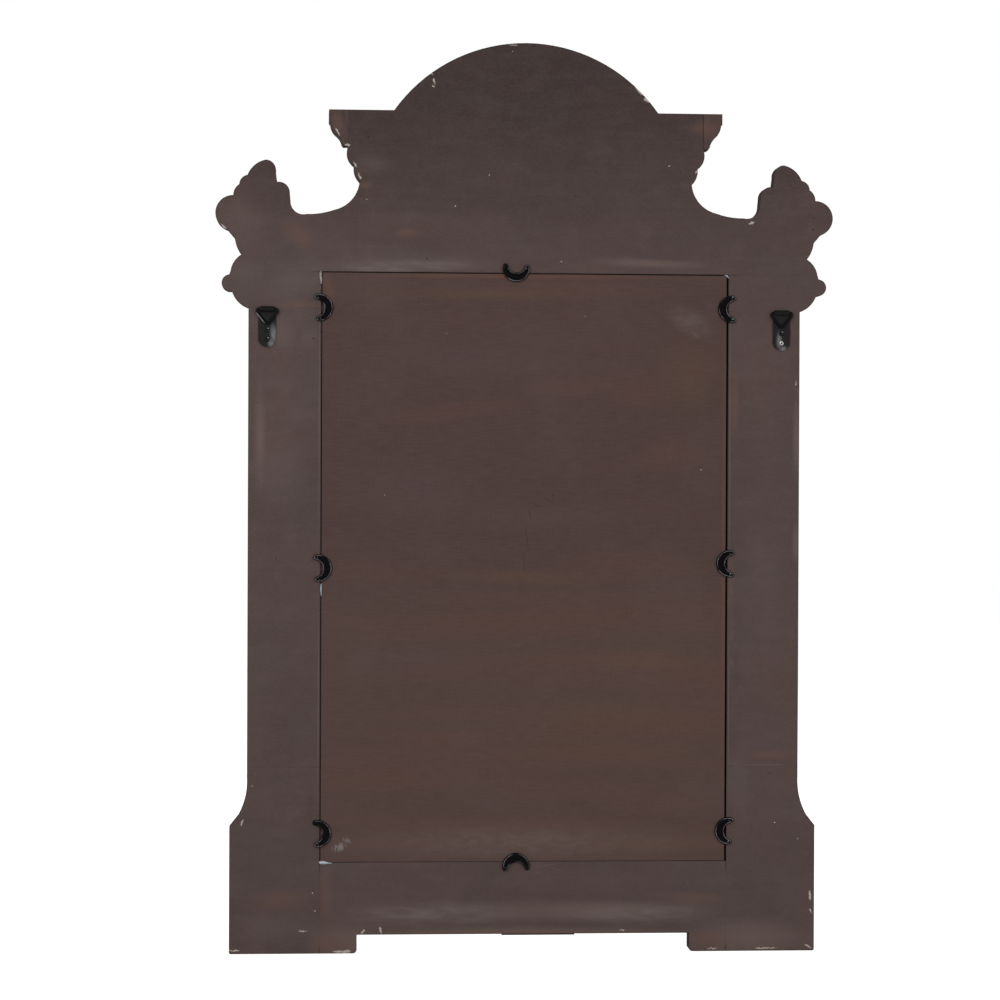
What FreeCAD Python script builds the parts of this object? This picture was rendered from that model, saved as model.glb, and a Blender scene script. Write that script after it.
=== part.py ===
import FreeCAD, Part
import math
import os
import Sketcher
from FreeCAD import Placement, Rotation, Vector

# Carved wooden wall mirror with an arched crest, lengths in millimetres
# X runs left to right as one looks into the glass, Y runs from the glass to the wall, Z is up
# The origin is midway between the two hanging rings, on the plane of the frame's back

document = FreeCAD.newDocument("WoodenMirror")

driving_sizes = {
    # Heights of the boards, one on top of the other from the floor up
    "base_corner_height": 153.0,
    "flare_height": 59.0,
    "base_neck": 13.0,
    "stile_length": 552.5,
    "shoulder_height": 44.5,
    "crest_height": 195.0,
    "arch_rise": 83.0,
    "rail_height": 110.0,
    "board_thickness": 20.0,
    # Widths of the boards, from the opening outwards
    "opening_width": 493.4,
    "stile_width": 87.5,
    "base_overhang": 21.0,
    "foot_width": 153.6,
    "foot_gap_height": 22.4,
    "foot_gap_round": 5.0,
    "corner_round": 2.5,
    # Scrolled ears and the necks between them and the cornice
    "ear_overhang": 40.0,
    "ear_width": 89.1,
    "ear_rise": 133.8,
    "neck_waist": 13.9,
    # Cornice and arch
    "crest_setback": 31.5,
    "cornice_projection": 23.2,
    "cornice_drop": 43.3,
    "cornice_fascia": 13.2,
    "cornice_shelf": 55.2,
    "arch_moulding_width": 26.0,
    "arch_moulding_depth": 24.0,
    # Dowels in the board joints
    "dowel_radius": 4.0,
    "dowel_reach": 30.0,
    "rail_dowel_edge": 22.0,
    # Glass and the panel behind it
    "glass_thickness": 4.0,
    "glass_play": 2.0,
    "bevel_width": 22.0,
    "bevel_depth": 1.2,
    "panel_thickness": 5.0,
    "panel_gap": 1.0,
    "panel_wide_gap": 2.2,
    "panel_foot_gap": 0.3,
    # Sight edge moulding round the glass
    "sight_cover": 22.0,
    "sight_lip": 8.0,
    "sight_play": 0.5,
    "sight_bead": 2.5,
    "sight_flat": 4.0,
    "sight_roll": 9.0,
    "sight_step": 2.0,
    # Frieze ledge and tablet on the crest
    "frieze_gap": 14.0,
    "frieze_side_gap": 11.5,
    "frieze_height": 24.0,
    "frieze_projection": 16.0,
    "frieze_core": 6.0,
    "tablet_margin": 20.0,
    "tablet_side_margin": 65.0,
    "tablet_thickness": 8.0,
    "tablet_chamfer": 3.0,
    # Shell in the arch and the drop under the rail
    "shell_gap": 6.0,
    "shell_thickness": 11.0,
    "drop_radius": 47.5,
    "drop_thickness": 10.0,
    "drop_shift": 20.0,
    "drop_low_height": 16.5,
    "apron_edge": 3.0,
    "apron_thickness": 9.0,
    "apron_chamfer": 3.0,
    # Carved ears
    "ear_carving_thickness": 9.0,
    "ear_carving_relief": 5.0,
    "ear_carving_inset": 3.0,
    "carving_gap": 0.5,
    "vein_width": 5.0,
    "vein_depth": 4.0,
    "scroll_radius": 15.0,
    "scroll_eye_radius": 3.5,
    "scroll_eye_height": 2.5,
    # Pedestals, pilasters and capitals
    "pedestal_thickness": 14.0,
    "pedestal_inset": 3.0,
    "pedestal_field_margin": 13.0,
    "pedestal_field_relief": 3.0,
    "pilaster_gap": 2.35,
    "pilaster_thickness": 8.0,
    "pilaster_base_height": 26.0,
    "capital_height": 30.0,
    "capital_projection": 7.0,
    "flute_radius": 4.5,
    "flute_margin": 16.0,
    # Crescent clips and their pins
    "clip_radius": 16.6,
    "clip_band": 11.2,
    "clip_horn_radius": 3.2,
    "clip_horn_reach": 1.8,
    "clip_thickness": 3.0,
    "clip_rim_radius": 1.2,
    "clip_setback_ends": 5.9,
    "clip_setback_sides": 3.0,
    "top_clip_shift": 11.8,
    "bottom_clip_shift": 9.3,
    "upper_clip_drop": 42.6,
    "middle_clip_rise": 2.0,
    "lower_clip_rise": 35.6,
    "pin_radius": 1.0,
    "pin_head_radius": 1.9,
    "pin_head_height": 0.8,
    "pin_depth": 11.0,
    "pin_play": 0.3,
    # Strap hangers, rings and screws
    "hanger_drop": 1.2,
    "strap_edge": 22.5,
    "strap_width": 21.6,
    "strap_thickness": 1.2,
    "strap_end_margin": 9.4,
    "eye_width": 17.0,
    "ring_wire_radius": 1.7,
    "ring_play": 0.3,
    "ring_end_play": 1.05,
    "ring_bend_radius": 2.8,
    "ring_joint_gap": 0.6,
    "screw_ring_gap": 3.5,
    "screw_spacing": 11.4,
    "screw_radius": 1.6,
    "screw_head_radius": 2.9,
    "screw_head_height": 1.5,
    "screw_depth": 15.0,
    # Shared clearances
    "seat_play": 0.05,
    "overrun": 10.0,
}

sheet = document.addObject("Spreadsheet::Sheet", "Sizes")
for row, (name, length) in enumerate(driving_sizes.items(), start=1):
    sheet.set(f"A{row}", name)
    sheet.set(f"B{row}", str(length))
    sheet.setAlias(f"B{row}", name)
document.recompute()

# Places worked out from the sheet, as expressions; levels are heights above the floor
base_seam = "(Sizes.base_corner_height + Sizes.flare_height + Sizes.base_neck)"
shoulder_seam = f"({base_seam} + Sizes.stile_length)"
hanging_level = f"({shoulder_seam} - Sizes.hanger_drop)"
opening_bottom = "Sizes.rail_height"
opening_top = f"({shoulder_seam} + Sizes.shoulder_height)"
cornice_top = f"({opening_top} + Sizes.crest_height)"
cornice_foot = f"({cornice_top} - Sizes.cornice_drop)"
arch_top = f"({cornice_top} + Sizes.arch_rise)"
opening_edge = "(Sizes.opening_width / 2)"
sight_edge = f"({opening_edge} + Sizes.sight_cover)"
stile_edge = f"({opening_edge} + Sizes.stile_width)"
base_edge = f"({stile_edge} + Sizes.base_overhang)"
crest_edge = f"({opening_edge} - Sizes.crest_setback)"
arch_edge = f"({crest_edge} - Sizes.cornice_shelf)"
strap_place = f"({stile_edge} - Sizes.strap_edge)"
eye_outer = "(Sizes.ring_wire_radius + Sizes.ring_play + Sizes.strap_thickness)"
pilaster_half = (
    "((Sizes.stile_width - Sizes.sight_cover) / 2"
    " - Sizes.capital_projection - Sizes.pilaster_gap)")
pilaster_foot = f"({base_seam} + Sizes.pilaster_base_height)"
pilaster_head = f"({shoulder_seam} - Sizes.capital_height)"
frieze_foot = f"({opening_top} + Sizes.sight_cover + Sizes.frieze_gap)"
frieze_half = f"({sight_edge} - Sizes.frieze_side_gap - Sizes.frieze_projection)"
tablet_foot = f"({frieze_foot} + Sizes.frieze_height + Sizes.tablet_margin)"
tablet_half = f"({crest_edge} - Sizes.tablet_side_margin)"
shell_radius = "(Sizes.arch_rise - Sizes.arch_moulding_width - Sizes.shell_gap)"

subparts = []
to_front = Vector(0, -1, 0)
sides = {"left": -1, "right": 1}


def size(name):
    return float(sheet.get(name))


def value(expression):
    return float(sheet.evalExpression(expression))


def signed(side, expression):
    return expression if side > 0 else f"-{expression}"


def new_body(label):
    body = document.addObject("PartDesign::Body", label)
    body.Label = label
    subparts.append(body)
    return body


def place(part, x="0", y="0", z="0", turn=0):
    # z is a height above the floor, and turn is in degrees about the Y axis
    part.Placement = Placement(Vector(), Rotation(Vector(0, 1, 0), turn))
    part.setExpression("Placement.Base.x", x)
    part.setExpression("Placement.Base.y", y)
    part.setExpression("Placement.Base.z", f"{z} - {hanging_level}")


def new_sketch(body, role, name):
    sketch = body.newObject("Sketcher::SketchObject", name)
    plane = next(feature for feature in body.Origin.OriginFeatures if feature.Role == role)
    sketch.AttachmentSupport = [(plane, "")]
    sketch.MapMode = "FlatFace"
    return sketch


def mapped(outline, point):
    # An outline is a list of line ends and of pairs, each pair the middle and end of an arc
    steps = []
    for step in outline:
        if isinstance(step[0], tuple):
            steps.append((point(step[0]), point(step[1])))
        else:
            steps.append(point(step))
    return steps


def mirrored(outline, side):
    # The outline itself on the right, and its mirror image on the left
    return mapped(outline, lambda point: (side * point[0], point[1]))


def turned_over(outline):
    # Moves a profile's first coordinate to the other side of its axis
    return mapped(outline, lambda point: (-point[0], point[1]))


def moved_out(outline, reach):
    return mapped(outline, lambda point: (reach + point[0], point[1]))


def backwards(outline):
    # The same open outline drawn from its last point to its first
    ends = [step[1] if isinstance(step[0], tuple) else step for step in outline]
    turned = [ends[-1]]
    for number in range(len(outline) - 1, 0, -1):
        step = outline[number]
        if isinstance(step[0], tuple):
            turned.append((step[0], ends[number - 1]))
        else:
            turned.append(ends[number - 1])
    return turned


def outline_curves(outline):
    # Lines and arcs of the closed outline, leaving out steps too short to draw
    curves = []
    here = Vector(*outline[0], 0)
    for step in outline[1:] + [outline[0]]:
        if isinstance(step[0], tuple):
            there = Vector(*step[1], 0)
            curves.append(Part.Arc(here, Vector(*step[0], 0), there))
        else:
            there = Vector(*step, 0)
            if there.distanceToPoint(here) < size("seat_play"):
                continue
            curves.append(Part.LineSegment(here, there))
        here = there
    return curves


def draw_outline(sketch, outline):
    for curve in outline_curves(outline):
        sketch.addGeometry(curve, False)


def draw_rectangle(sketch, left, right, bottom, top):
    # Each side lies where its expression of the sheet puts it
    sides_text = [left, bottom, right, top]
    x0, y0, x1, y1 = [float(sketch.evalExpression(text)) for text in sides_text]
    corners = [Vector(x0, y0, 0), Vector(x1, y0, 0), Vector(x1, y1, 0), Vector(x0, y1, 0)]
    for number in range(4):
        sketch.addGeometry(Part.LineSegment(corners[number], corners[(number + 1) % 4]), False)
    for number in range(4):
        sketch.addConstraint(Sketcher.Constraint("Coincident", number, 2, (number + 1) % 4, 1))
        way = ["Horizontal", "Vertical"][number % 2]
        sketch.addConstraint(Sketcher.Constraint(way, number))
    ties = [("DistanceX", 0, x0, left), ("DistanceY", 0, y0, bottom)]
    ties += [("DistanceX", 2, x1, right), ("DistanceY", 2, y1, top)]
    for kind, line, distance, expression in ties:
        tie = sketch.addConstraint(Sketcher.Constraint(kind, -1, 1, line, 1, distance))
        sketch.setExpression(f"Constraints[{tie}]", expression)


def pad(body, sketch, thickness, name="Pad", backward=False):
    # A sketch on the XZ plane is padded to the front, or to the wall when backward is true
    feature = body.newObject("PartDesign::Pad", name)
    feature.Profile = sketch
    feature.setExpression("Length", thickness)
    feature.Reversed = backward
    return feature


def cut_through(body, sketch, name):
    feature = body.newObject("PartDesign::Pocket", name)
    feature.Profile = sketch
    feature.Type = "ThroughAll"
    feature.SideType = "Symmetric"
    return feature


def drill(body, name, start, direction, radius, depth):
    # A blind round hole whose radius and depth are expressions of the sheet
    hole = body.newObject("PartDesign::SubtractiveCylinder", name)
    hole.setExpression("Radius", radius)
    hole.setExpression("Height", f"{depth} + Sizes.overrun")
    hole.Placement = Placement(
        start - direction * size("overrun"), Rotation(Vector(0, 0, 1), direction))
    return hole


def bevel_face(body, plate, depth, name, kind="Chamfer"):
    # Chamfer or fillet round the whole rim of the plate's face at the given distance along Y
    document.recompute()
    rim = []
    for number, edge in enumerate(plate.Shape.Edges, start=1):
        if all(abs(vertex.Y - depth) < size("seat_play") for vertex in edge.Vertexes):
            rim.append(f"Edge{number}")
    bevel = body.newObject(f"PartDesign::{kind}", name)
    bevel.Base = (plate, rim)
    return bevel


# The scrolled edge in shares: across from the ear's root to its tip, and up its rise
bay_edge_shares = [
    (0.0, 0.812),
    ((0.085, 0.670), (0.362, 0.555)),
    ((0.536, 0.526), (0.759, 0.515)),
    ((0.925, 0.539), (0.987, 0.606)),
    (1.0, 0.699),
]
ear_edge_shares = [
    (0.0, 0.699),
    ((0.046, 0.775), (0.172, 0.801)),
    (0.189, 0.893),
    ((0.223, 0.968), (0.324, 1.0)),
    ((0.475, 0.951), (0.571, 0.861)),
    ((0.643, 0.836), (0.681, 0.777)),
    ((0.740, 0.735), (0.761, 0.679)),
    ((1.0, 0.531), (0.832, 0.367)),
    (0.740, 0.295),
    ((0.714, 0.223), (0.647, 0.147)),
    ((0.740, 0.090), (0.794, 0.0)),
]
# Edge of the lower scroll's knob: up shares are of the shoulder block's height
knob_edge_shares = [
    (0.794, 1.0),
    (0.811, 0.898),
    ((0.912, 0.713), (0.777, 0.449)),
]
knob_foot_share = (0.689, 0.168)
# Neck under the cornice: in shares of its waist, and down to the bay
neck_edge_shares = [
    (0.0, 0.0),
    ((-0.079, 0.284), (0.489, 0.560)),
    ((0.568, 0.786), (1.0, 1.0)),
]

# Outlines of the right half, from the arch down to the floor
opening_half = value(opening_edge)
stile_outer = value(stile_edge)
crest_half = value(crest_edge)
shoulder_level = value(shoulder_seam)
crest_level = value(opening_top)
ear_outer = stile_outer + size("ear_overhang")
ear_inner = ear_outer - size("ear_width")
neck_foot_x = crest_half - size("neck_waist")
neck_foot_level = crest_level + size("ear_rise") * bay_edge_shares[0][1]


def bay_point(share):
    across = neck_foot_x + (ear_inner - neck_foot_x) * share[0]
    return across, crest_level + size("ear_rise") * share[1]


def ear_point(share):
    return ear_inner + size("ear_width") * share[0], crest_level + size("ear_rise") * share[1]


def knob_point(share):
    across = ear_inner + size("ear_width") * share[0]
    return across, shoulder_level + size("shoulder_height") * share[1]


def neck_point(share):
    fall = value(cornice_foot) - neck_foot_level
    return crest_half - size("neck_waist") * share[0], value(cornice_foot) - fall * share[1]


neck_edge = mapped(neck_edge_shares, neck_point)
bay_edge = mapped(bay_edge_shares, bay_point)
ear_edge = mapped(ear_edge_shares, ear_point)
knob_edge = mapped(knob_edge_shares, knob_point)
knob_edge.append((knob_point(knob_foot_share), (stile_outer, shoulder_level)))
crest_side = [(crest_half, value(cornice_top))] + neck_edge + bay_edge[1:] + ear_edge[1:]


def make_crest_board():
    body = new_body("crest_board")
    sketch = new_sketch(body, "XZ_Plane", "CrestOutline")
    arch_end = value(arch_edge)
    outline = [(-arch_end, value(cornice_top))]
    outline.append(((0, value(arch_top)), (arch_end, value(cornice_top))))
    outline += crest_side + backwards(mirrored(crest_side, -1))
    draw_outline(sketch, outline)
    pad(body, sketch, "Sizes.board_thickness")
    place(body)
    return body


def make_shoulder_block(side_name, side):
    # Short block between the crest and the stile, with the lower scroll's knob on its end
    body = new_body(f"{side_name}_shoulder_block")
    sketch = new_sketch(body, "XZ_Plane", f"{side_name}ShoulderOutline")
    outline = knob_edge + [(opening_half, shoulder_level), (opening_half, crest_level)]
    draw_outline(sketch, mirrored(outline, side))
    pad(body, sketch, "Sizes.board_thickness")
    place(body)
    return body


def make_stile(side_name, side):
    body = new_body(f"{side_name}_stile")
    sketch = new_sketch(body, "XZ_Plane", f"{side_name}StileOutline")
    edges = [signed(side, opening_edge), signed(side, stile_edge)][::side]
    draw_rectangle(sketch, *edges, base_seam, shoulder_seam)
    pad(body, sketch, "Sizes.board_thickness")
    place(body)
    return body


# Turn of the flare, and the middle of its arc: in shares of its overhang and its height
flare_turn_shares = (0.495, 0.227)
flare_middle_shares = (0.26, 0.43)


def base_side(inset=0):
    # Outer edge of the flared base, from its upper seam to the floor
    outer = value(base_edge) - inset
    upper = stile_outer - inset
    corner = size("base_corner_height")
    flare_top = corner + size("flare_height")
    turn = (
        upper + size("base_overhang") * flare_turn_shares[0],
        corner + size("flare_height") * flare_turn_shares[1])
    middle = (
        upper + (turn[0] - upper) * flare_middle_shares[0],
        turn[1] + (flare_top - turn[1]) * flare_middle_shares[1])
    round_off = size("corner_round")
    cut_corner = round_off * (1 - math.sqrt(0.5))
    return [
        (upper, value(base_seam)),
        (upper, flare_top),
        (middle, turn),
        (outer, corner),
        (outer, round_off),
        ((outer - cut_corner, cut_corner), (outer - round_off, 0))]


def make_base_block(side_name, side):
    body = new_body(f"{side_name}_base_block")
    sketch = new_sketch(body, "XZ_Plane", f"{side_name}BaseOutline")
    outline = base_side() + [(opening_half, 0), (opening_half, value(base_seam))]
    draw_outline(sketch, mirrored(outline, side))
    pad(body, sketch, "Sizes.board_thickness")
    place(body)
    return body


def make_bottom_rail():
    # The rail reaches the floor at both ends, as the inner halves of the feet
    body = new_body("bottom_rail")
    sketch = new_sketch(body, "XZ_Plane", "RailOutline")
    gap_half = value(base_edge) - size("foot_width")
    round_off = size("foot_gap_round")
    cut_corner = round_off * (1 - math.sqrt(0.5))
    right_half = [
        (opening_half, value(opening_bottom)),
        (opening_half, 0),
        (gap_half + round_off, 0),
        ((gap_half + cut_corner, cut_corner), (gap_half, round_off)),
        (gap_half, size("foot_gap_height"))]
    outline = right_half + backwards(mirrored(right_half, -1))
    draw_outline(sketch, outline)
    pad(body, sketch, "Sizes.board_thickness")
    place(body)
    return body


# Profile of the cornice in shares: out from the board, and down below the fascia
cornice_profile_shares = [
    (1.0, 0.0),
    (0.93, 0.035),
    ((0.83, 0.32), (0.645, 0.51)),
    ((0.42, 0.73), (0.33, 0.94)),
    (0.28, 0.94),
    (0.28, 1.0),
    (0.0, 1.0),
]


def cornice_profile():
    # Points are (projection, height above the floor), from the top edge to the foot
    out = size("cornice_projection")
    fascia_foot = value(cornice_top) - size("cornice_fascia")
    fall = size("cornice_drop") - size("cornice_fascia")
    profile = [(0, value(cornice_top)), (out, value(cornice_top))]
    return profile + mapped(
        cornice_profile_shares,
        lambda share: (out * share[0], fascia_foot - fall * share[1]))


def make_cornice_end(side_name, side):
    # Return of the cornice, from the wall plane to its mitre with the front length
    body = new_body(f"{side_name}_cornice_end")
    sketch = new_sketch(body, "XZ_Plane", f"{side_name}CorniceEndProfile")
    draw_outline(sketch, mirrored(moved_out(cornice_profile(), crest_half), side))
    pad(body, sketch, "Sizes.board_thickness + Sizes.cornice_projection")
    far = size("cornice_projection") + size("overrun")
    front = -size("board_thickness")
    mitre = new_sketch(body, "XY_Plane", f"{side_name}CorniceEndMitre")
    corners = [(crest_half, front), (crest_half, front - far), (crest_half + far, front - far)]
    draw_outline(mitre, mirrored(corners, side))
    cut_through(body, mitre, f"{side_name}CorniceEndCut")
    place(body)
    return body


def make_cornice_moulding():
    # Front length of the cornice, mitred to its two returns
    body = new_body("cornice_moulding")
    sketch = new_sketch(body, "YZ_Plane", "CorniceProfile")
    draw_outline(sketch, turned_over(cornice_profile()))
    length = pad(body, sketch, f"2 * ({crest_edge} + Sizes.cornice_projection)")
    length.SideType = "Symmetric"
    far = size("cornice_projection") + size("overrun")
    for side_name, side in sides.items():
        mitre = new_sketch(body, "XY_Plane", f"{side_name}CorniceMitre")
        corners = [(crest_half, 0), (crest_half + far, 0), (crest_half + far, -far)]
        draw_outline(mitre, mirrored(corners, side))
        cut_through(body, mitre, f"{side_name}CorniceCut")
    place(body, y="-Sizes.board_thickness")
    return body


# Profile of the arch moulding in shares: out from the board, and up from its inner edge
arch_profile_shares = [
    (0.0, 1.0),
    (1.0, 1.0),
    (1.0, 0.70),
    (0.92, 0.70),
    ((0.55, 0.58), (0.38, 0.32)),
    (0.38, 0.24),
    ((0.46, 0.12), (0.38, 0.0)),
    (0.0, 0.0),
]


def make_arch_moulding():
    # Moulding turned about the centre of the arch, and cut level on top of the cornice
    half_span = value(arch_edge)
    rise = size("arch_rise")
    radius = (half_span ** 2 + rise ** 2) / (2 * rise)
    centre_drop = radius - rise
    width = size("arch_moulding_width")
    depth = size("arch_moulding_depth")
    body = new_body("arch_moulding")
    sketch = new_sketch(body, "YZ_Plane", "ArchProfile")
    draw_outline(sketch, mapped(
        arch_profile_shares,
        lambda share: (-depth * share[0], radius + width * (share[1] - 1))))
    turn = body.newObject("PartDesign::Revolution", "ArchTurn")
    turn.Profile = sketch
    turn.ReferenceAxis = (sketch, ["H_Axis"])
    spare_turn = 2 * math.degrees(size("overrun") / radius)
    turn.Angle = 2 * math.degrees(math.atan2(half_span, centre_drop)) + spare_turn
    turn.Midplane = True
    level = new_sketch(body, "XZ_Plane", "ArchLevel")
    far = radius + size("overrun")
    draw_outline(level, [(-far, -far), (far, -far), (far, centre_drop), (-far, centre_drop)])
    cut_through(body, level, "ArchCut")
    body.Placement = Placement(Vector(), Rotation())
    body.setExpression("Placement.Base.y", "-Sizes.board_thickness")
    radius_text = f"(({arch_edge} ^ 2 + Sizes.arch_rise ^ 2) / (2 * Sizes.arch_rise))"
    body.setExpression("Placement.Base.z", f"{arch_top} - {radius_text} - {hanging_level}")
    return body


def make_sight_moulding(label, half_length, x, z, turn):
    # Drawn lying along the upper edge of the opening: z counts away from the glass
    body = new_body(label)
    board = size("board_thickness")
    cover = size("sight_cover")
    lip = size("sight_lip")
    bead = size("sight_bead")
    step = size("sight_step")
    seat = size("panel_thickness") + size("glass_thickness")
    face = board + step
    bead_end = 2 * bead - lip
    roll_start = cover - size("sight_roll")
    cove = roll_start - size("sight_flat") - bead_end
    cove_bend = cove * math.sqrt(0.5)
    crown = face + cove + step
    profile = [
        (-seat, -size("sight_play")),
        (-seat, -lip),
        (-face, -lip),
        ((-face - bead, bead - lip), (-face, bead_end)),
        ((-face - cove + cove_bend, bead_end + cove_bend), (-face - cove, bead_end + cove)),
        (-face - cove, roll_start),
        (-crown, roll_start),
        ((-crown - step, (roll_start + cover - step) / 2), (-crown, cover - step)),
        (-crown + step, cover),
        (-board, cover),
        (-board, -size("sight_play"))]
    sketch = new_sketch(body, "YZ_Plane", f"{label}Profile")
    draw_outline(sketch, profile)
    length = pad(body, sketch, f"2 * ({half_length} + Sizes.sight_cover)")
    length.SideType = "Symmetric"
    half = value(half_length)
    far = size("overrun")
    for side_name, side in sides.items():
        mitre = new_sketch(body, "XZ_Plane", f"{label}{side_name}Mitre")
        corners = [
            (half - lip - far, -lip - far),
            (half + cover + far, cover + far),
            (half + cover + far, -lip - far)]
        draw_outline(mitre, mirrored(corners, side))
        cut_through(body, mitre, f"{label}{side_name}Cut")
    place(body, x=x, z=z, turn=turn)
    return body


def make_sight_mouldings():
    upright = f"(({opening_top} - {opening_bottom}) / 2)"
    middle = f"(({opening_top} + {opening_bottom}) / 2)"
    make_sight_moulding("top_sight_moulding", opening_edge, "0", opening_top, 0)
    make_sight_moulding("right_sight_moulding", upright, opening_edge, middle, 90)
    make_sight_moulding("bottom_sight_moulding", opening_edge, "0", opening_bottom, 180)
    make_sight_moulding("left_sight_moulding", upright, f"-{opening_edge}", middle, 270)


def make_glass():
    # Mirror plate with a wide bevel round its front face
    body = new_body("mirror_glass")
    sketch = new_sketch(body, "XZ_Plane", "GlassOutline")
    half = f"({opening_edge} - Sizes.glass_play)"
    draw_rectangle(
        sketch, f"-{half}", half,
        f"{opening_bottom} + Sizes.glass_play", f"{opening_top} - Sizes.glass_play")
    plate = pad(body, sketch, "Sizes.glass_thickness", "GlassPlate")
    bevel = bevel_face(body, plate, -size("glass_thickness"), "Bevel")
    bevel.ChamferType = "Two distances"
    bevel.setExpression("Size", "Sizes.bevel_width")
    bevel.setExpression("Size2", "Sizes.bevel_depth")
    document.recompute()
    front_face = min(body.Shape.Faces, key=lambda face: face.CenterOfMass.y)
    if front_face.BoundBox.XLength > size("opening_width") - size("bevel_width"):
        bevel.FlipDirection = True
    place(body, y="-Sizes.panel_thickness")
    return body


def make_backing_panel():
    # Thin board flush with the frame's back, standing on the rail and set to one side
    body = new_body("backing_panel")
    sketch = new_sketch(body, "XZ_Plane", "PanelOutline")
    draw_rectangle(
        sketch, f"Sizes.panel_wide_gap - {opening_edge}", f"{opening_edge} - Sizes.panel_gap",
        f"{opening_bottom} + Sizes.panel_foot_gap", f"{opening_top} - Sizes.panel_gap")
    pad(body, sketch, "Sizes.panel_thickness")
    place(body)
    return body


# Veins of the carved leaf, each as the start, middle and end of its arc, in the ear's shares
vein_shares = [
    [(0.02, 0.10), (0.10, 0.52), (0.30, 0.86)],
    [(0.07, 0.07), (0.26, 0.44), (0.55, 0.80)],
    [(0.12, 0.03), (0.38, 0.34), (0.64, 0.70)],
    [(0.18, -0.03), (0.44, 0.15), (0.70, 0.28)],
    [(0.20, -0.12), (0.42, -0.06), (0.66, 0.06)],
]
# Centre of the scroll on the widest lobe, and how far each half turn shrinks it
scroll_centre_share = (0.755, 0.510)
scroll_turn_shares = (1.0, 0.72, 0.48)


def v_groove(start, middle, end, front):
    # V cut along an arc in a face that looks to the front, at the given distance along Y
    points = [Vector(x, front, z) for x, z in (start, middle, end)]
    centre = Part.Arc(*points).toShape().Curve.Center
    headings = [math.atan2(point.z - centre.z, point.x - centre.x) for point in points]
    turn = (headings[2] - headings[0]) % (2 * math.pi)
    if (headings[1] - headings[0]) % (2 * math.pi) > turn:
        turn -= 2 * math.pi
    outward = (points[0] - centre).normalize()
    depth = size("vein_depth")
    lift = to_front * depth
    half = outward * size("vein_width")
    bottom = points[0] - lift
    section = Part.makePolygon([bottom, points[0] + lift + half, points[0] + lift - half, bottom])
    return Part.Face(section).revolve(centre, Vector(0, 1, 0), -math.degrees(turn))


def scroll_grooves(front):
    # Spiral of half turns, each struck from a centre that keeps it joined to the one before
    centre_x, centre_z = ear_point(scroll_centre_share)
    radius = size("scroll_radius")
    grooves = []
    start_x = centre_x + radius
    way = 1
    for share in scroll_turn_shares:
        reach = radius * share
        middle_x = start_x - way * reach
        end_x = middle_x - way * reach
        grooves.append(v_groove(
            (start_x, centre_z), (middle_x, centre_z + way * reach), (end_x, centre_z), front))
        start_x = end_x
        way = -way
    return grooves


def make_ear_carving(side_name, side):
    # Scrolled leaf on the ear: a stepped slab set in from the board's edge, with cut veins
    outline = bay_edge[1:] + ear_edge[1:] + knob_edge[1:]
    outline = [outline[0][1]] + outline[1:]
    outline.append((outline[0][0], shoulder_level))
    wire = Part.Wire([curve.toShape() for curve in outline_curves(outline)])
    face = Part.Face(wire)
    inset = size("ear_carving_inset")
    thickness = size("ear_carving_thickness")
    relief = size("ear_carving_relief")
    low = face.makeOffset2D(-inset).extrude(Vector(0, 0, thickness))
    high = face.makeOffset2D(-2 * inset).extrude(Vector(0, 0, thickness + relief))
    upright = Placement(Vector(), Rotation(Vector(1, 0, 0), 90)).toMatrix()
    leaf = low.fuse(high).transformGeometry(upright)
    inner = value(sight_edge) + size("carving_gap")
    foot = shoulder_level + size("carving_gap")
    far = ear_outer + size("overrun")
    room = Part.makeBox(
        far - inner, thickness + relief + size("overrun"), far,
        Vector(inner, -thickness - relief - size("overrun"), foot))
    leaf = leaf.common(room.fuse(room.translated(Vector(0, size("overrun"), 0))))
    front = -thickness - relief
    cuts = [
        v_groove(ear_point(start), ear_point(middle), ear_point(end), front)
        for start, middle, end in vein_shares]
    leaf = leaf.cut(cuts + scroll_grooves(front))
    eye_x, eye_z = ear_point(scroll_centre_share)
    eye = Part.makeCone(
        size("scroll_eye_radius"), size("scroll_eye_radius") / 2, size("scroll_eye_height"),
        Vector(eye_x, front, eye_z), to_front)
    leaf = leaf.fuse(eye).removeSplitter()
    if side < 0:
        leaf = leaf.mirror(Vector(), Vector(1, 0, 0))
    carving = document.addObject("Part::Feature", f"{side_name}_ear_carving")
    carving.Label = f"{side_name}_ear_carving"
    carving.Shape = leaf
    place(carving, y="-Sizes.board_thickness")
    subparts.append(carving)
    return carving


def make_pedestal(side_name, side):
    # Flared pedestal under the pilaster, with a raised field on its die
    body = new_body(f"{side_name}_pedestal")
    inset = size("pedestal_inset")
    inner = value(sight_edge) + inset
    outline = base_side(inset) + [(inner, 0), (inner, value(base_seam))]
    sketch = new_sketch(body, "XZ_Plane", f"{side_name}PedestalOutline")
    draw_outline(sketch, mirrored(outline, side))
    pad(body, sketch, "Sizes.pedestal_thickness", f"{side_name}Die")
    field = new_sketch(body, "XZ_Plane", f"{side_name}FieldOutline")
    margin = size("pedestal_field_margin")
    outer = value(base_edge) - inset - margin
    low = 2 * margin
    high = size("base_corner_height") - margin
    corners = [(inner + margin, low), (outer, low), (outer, high), (inner + margin, high)]
    draw_outline(field, mirrored(corners, side))
    pad(body, field, "Sizes.pedestal_thickness + Sizes.pedestal_field_relief", f"{side_name}Field")
    place(body, y="-Sizes.board_thickness")
    return body


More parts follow.
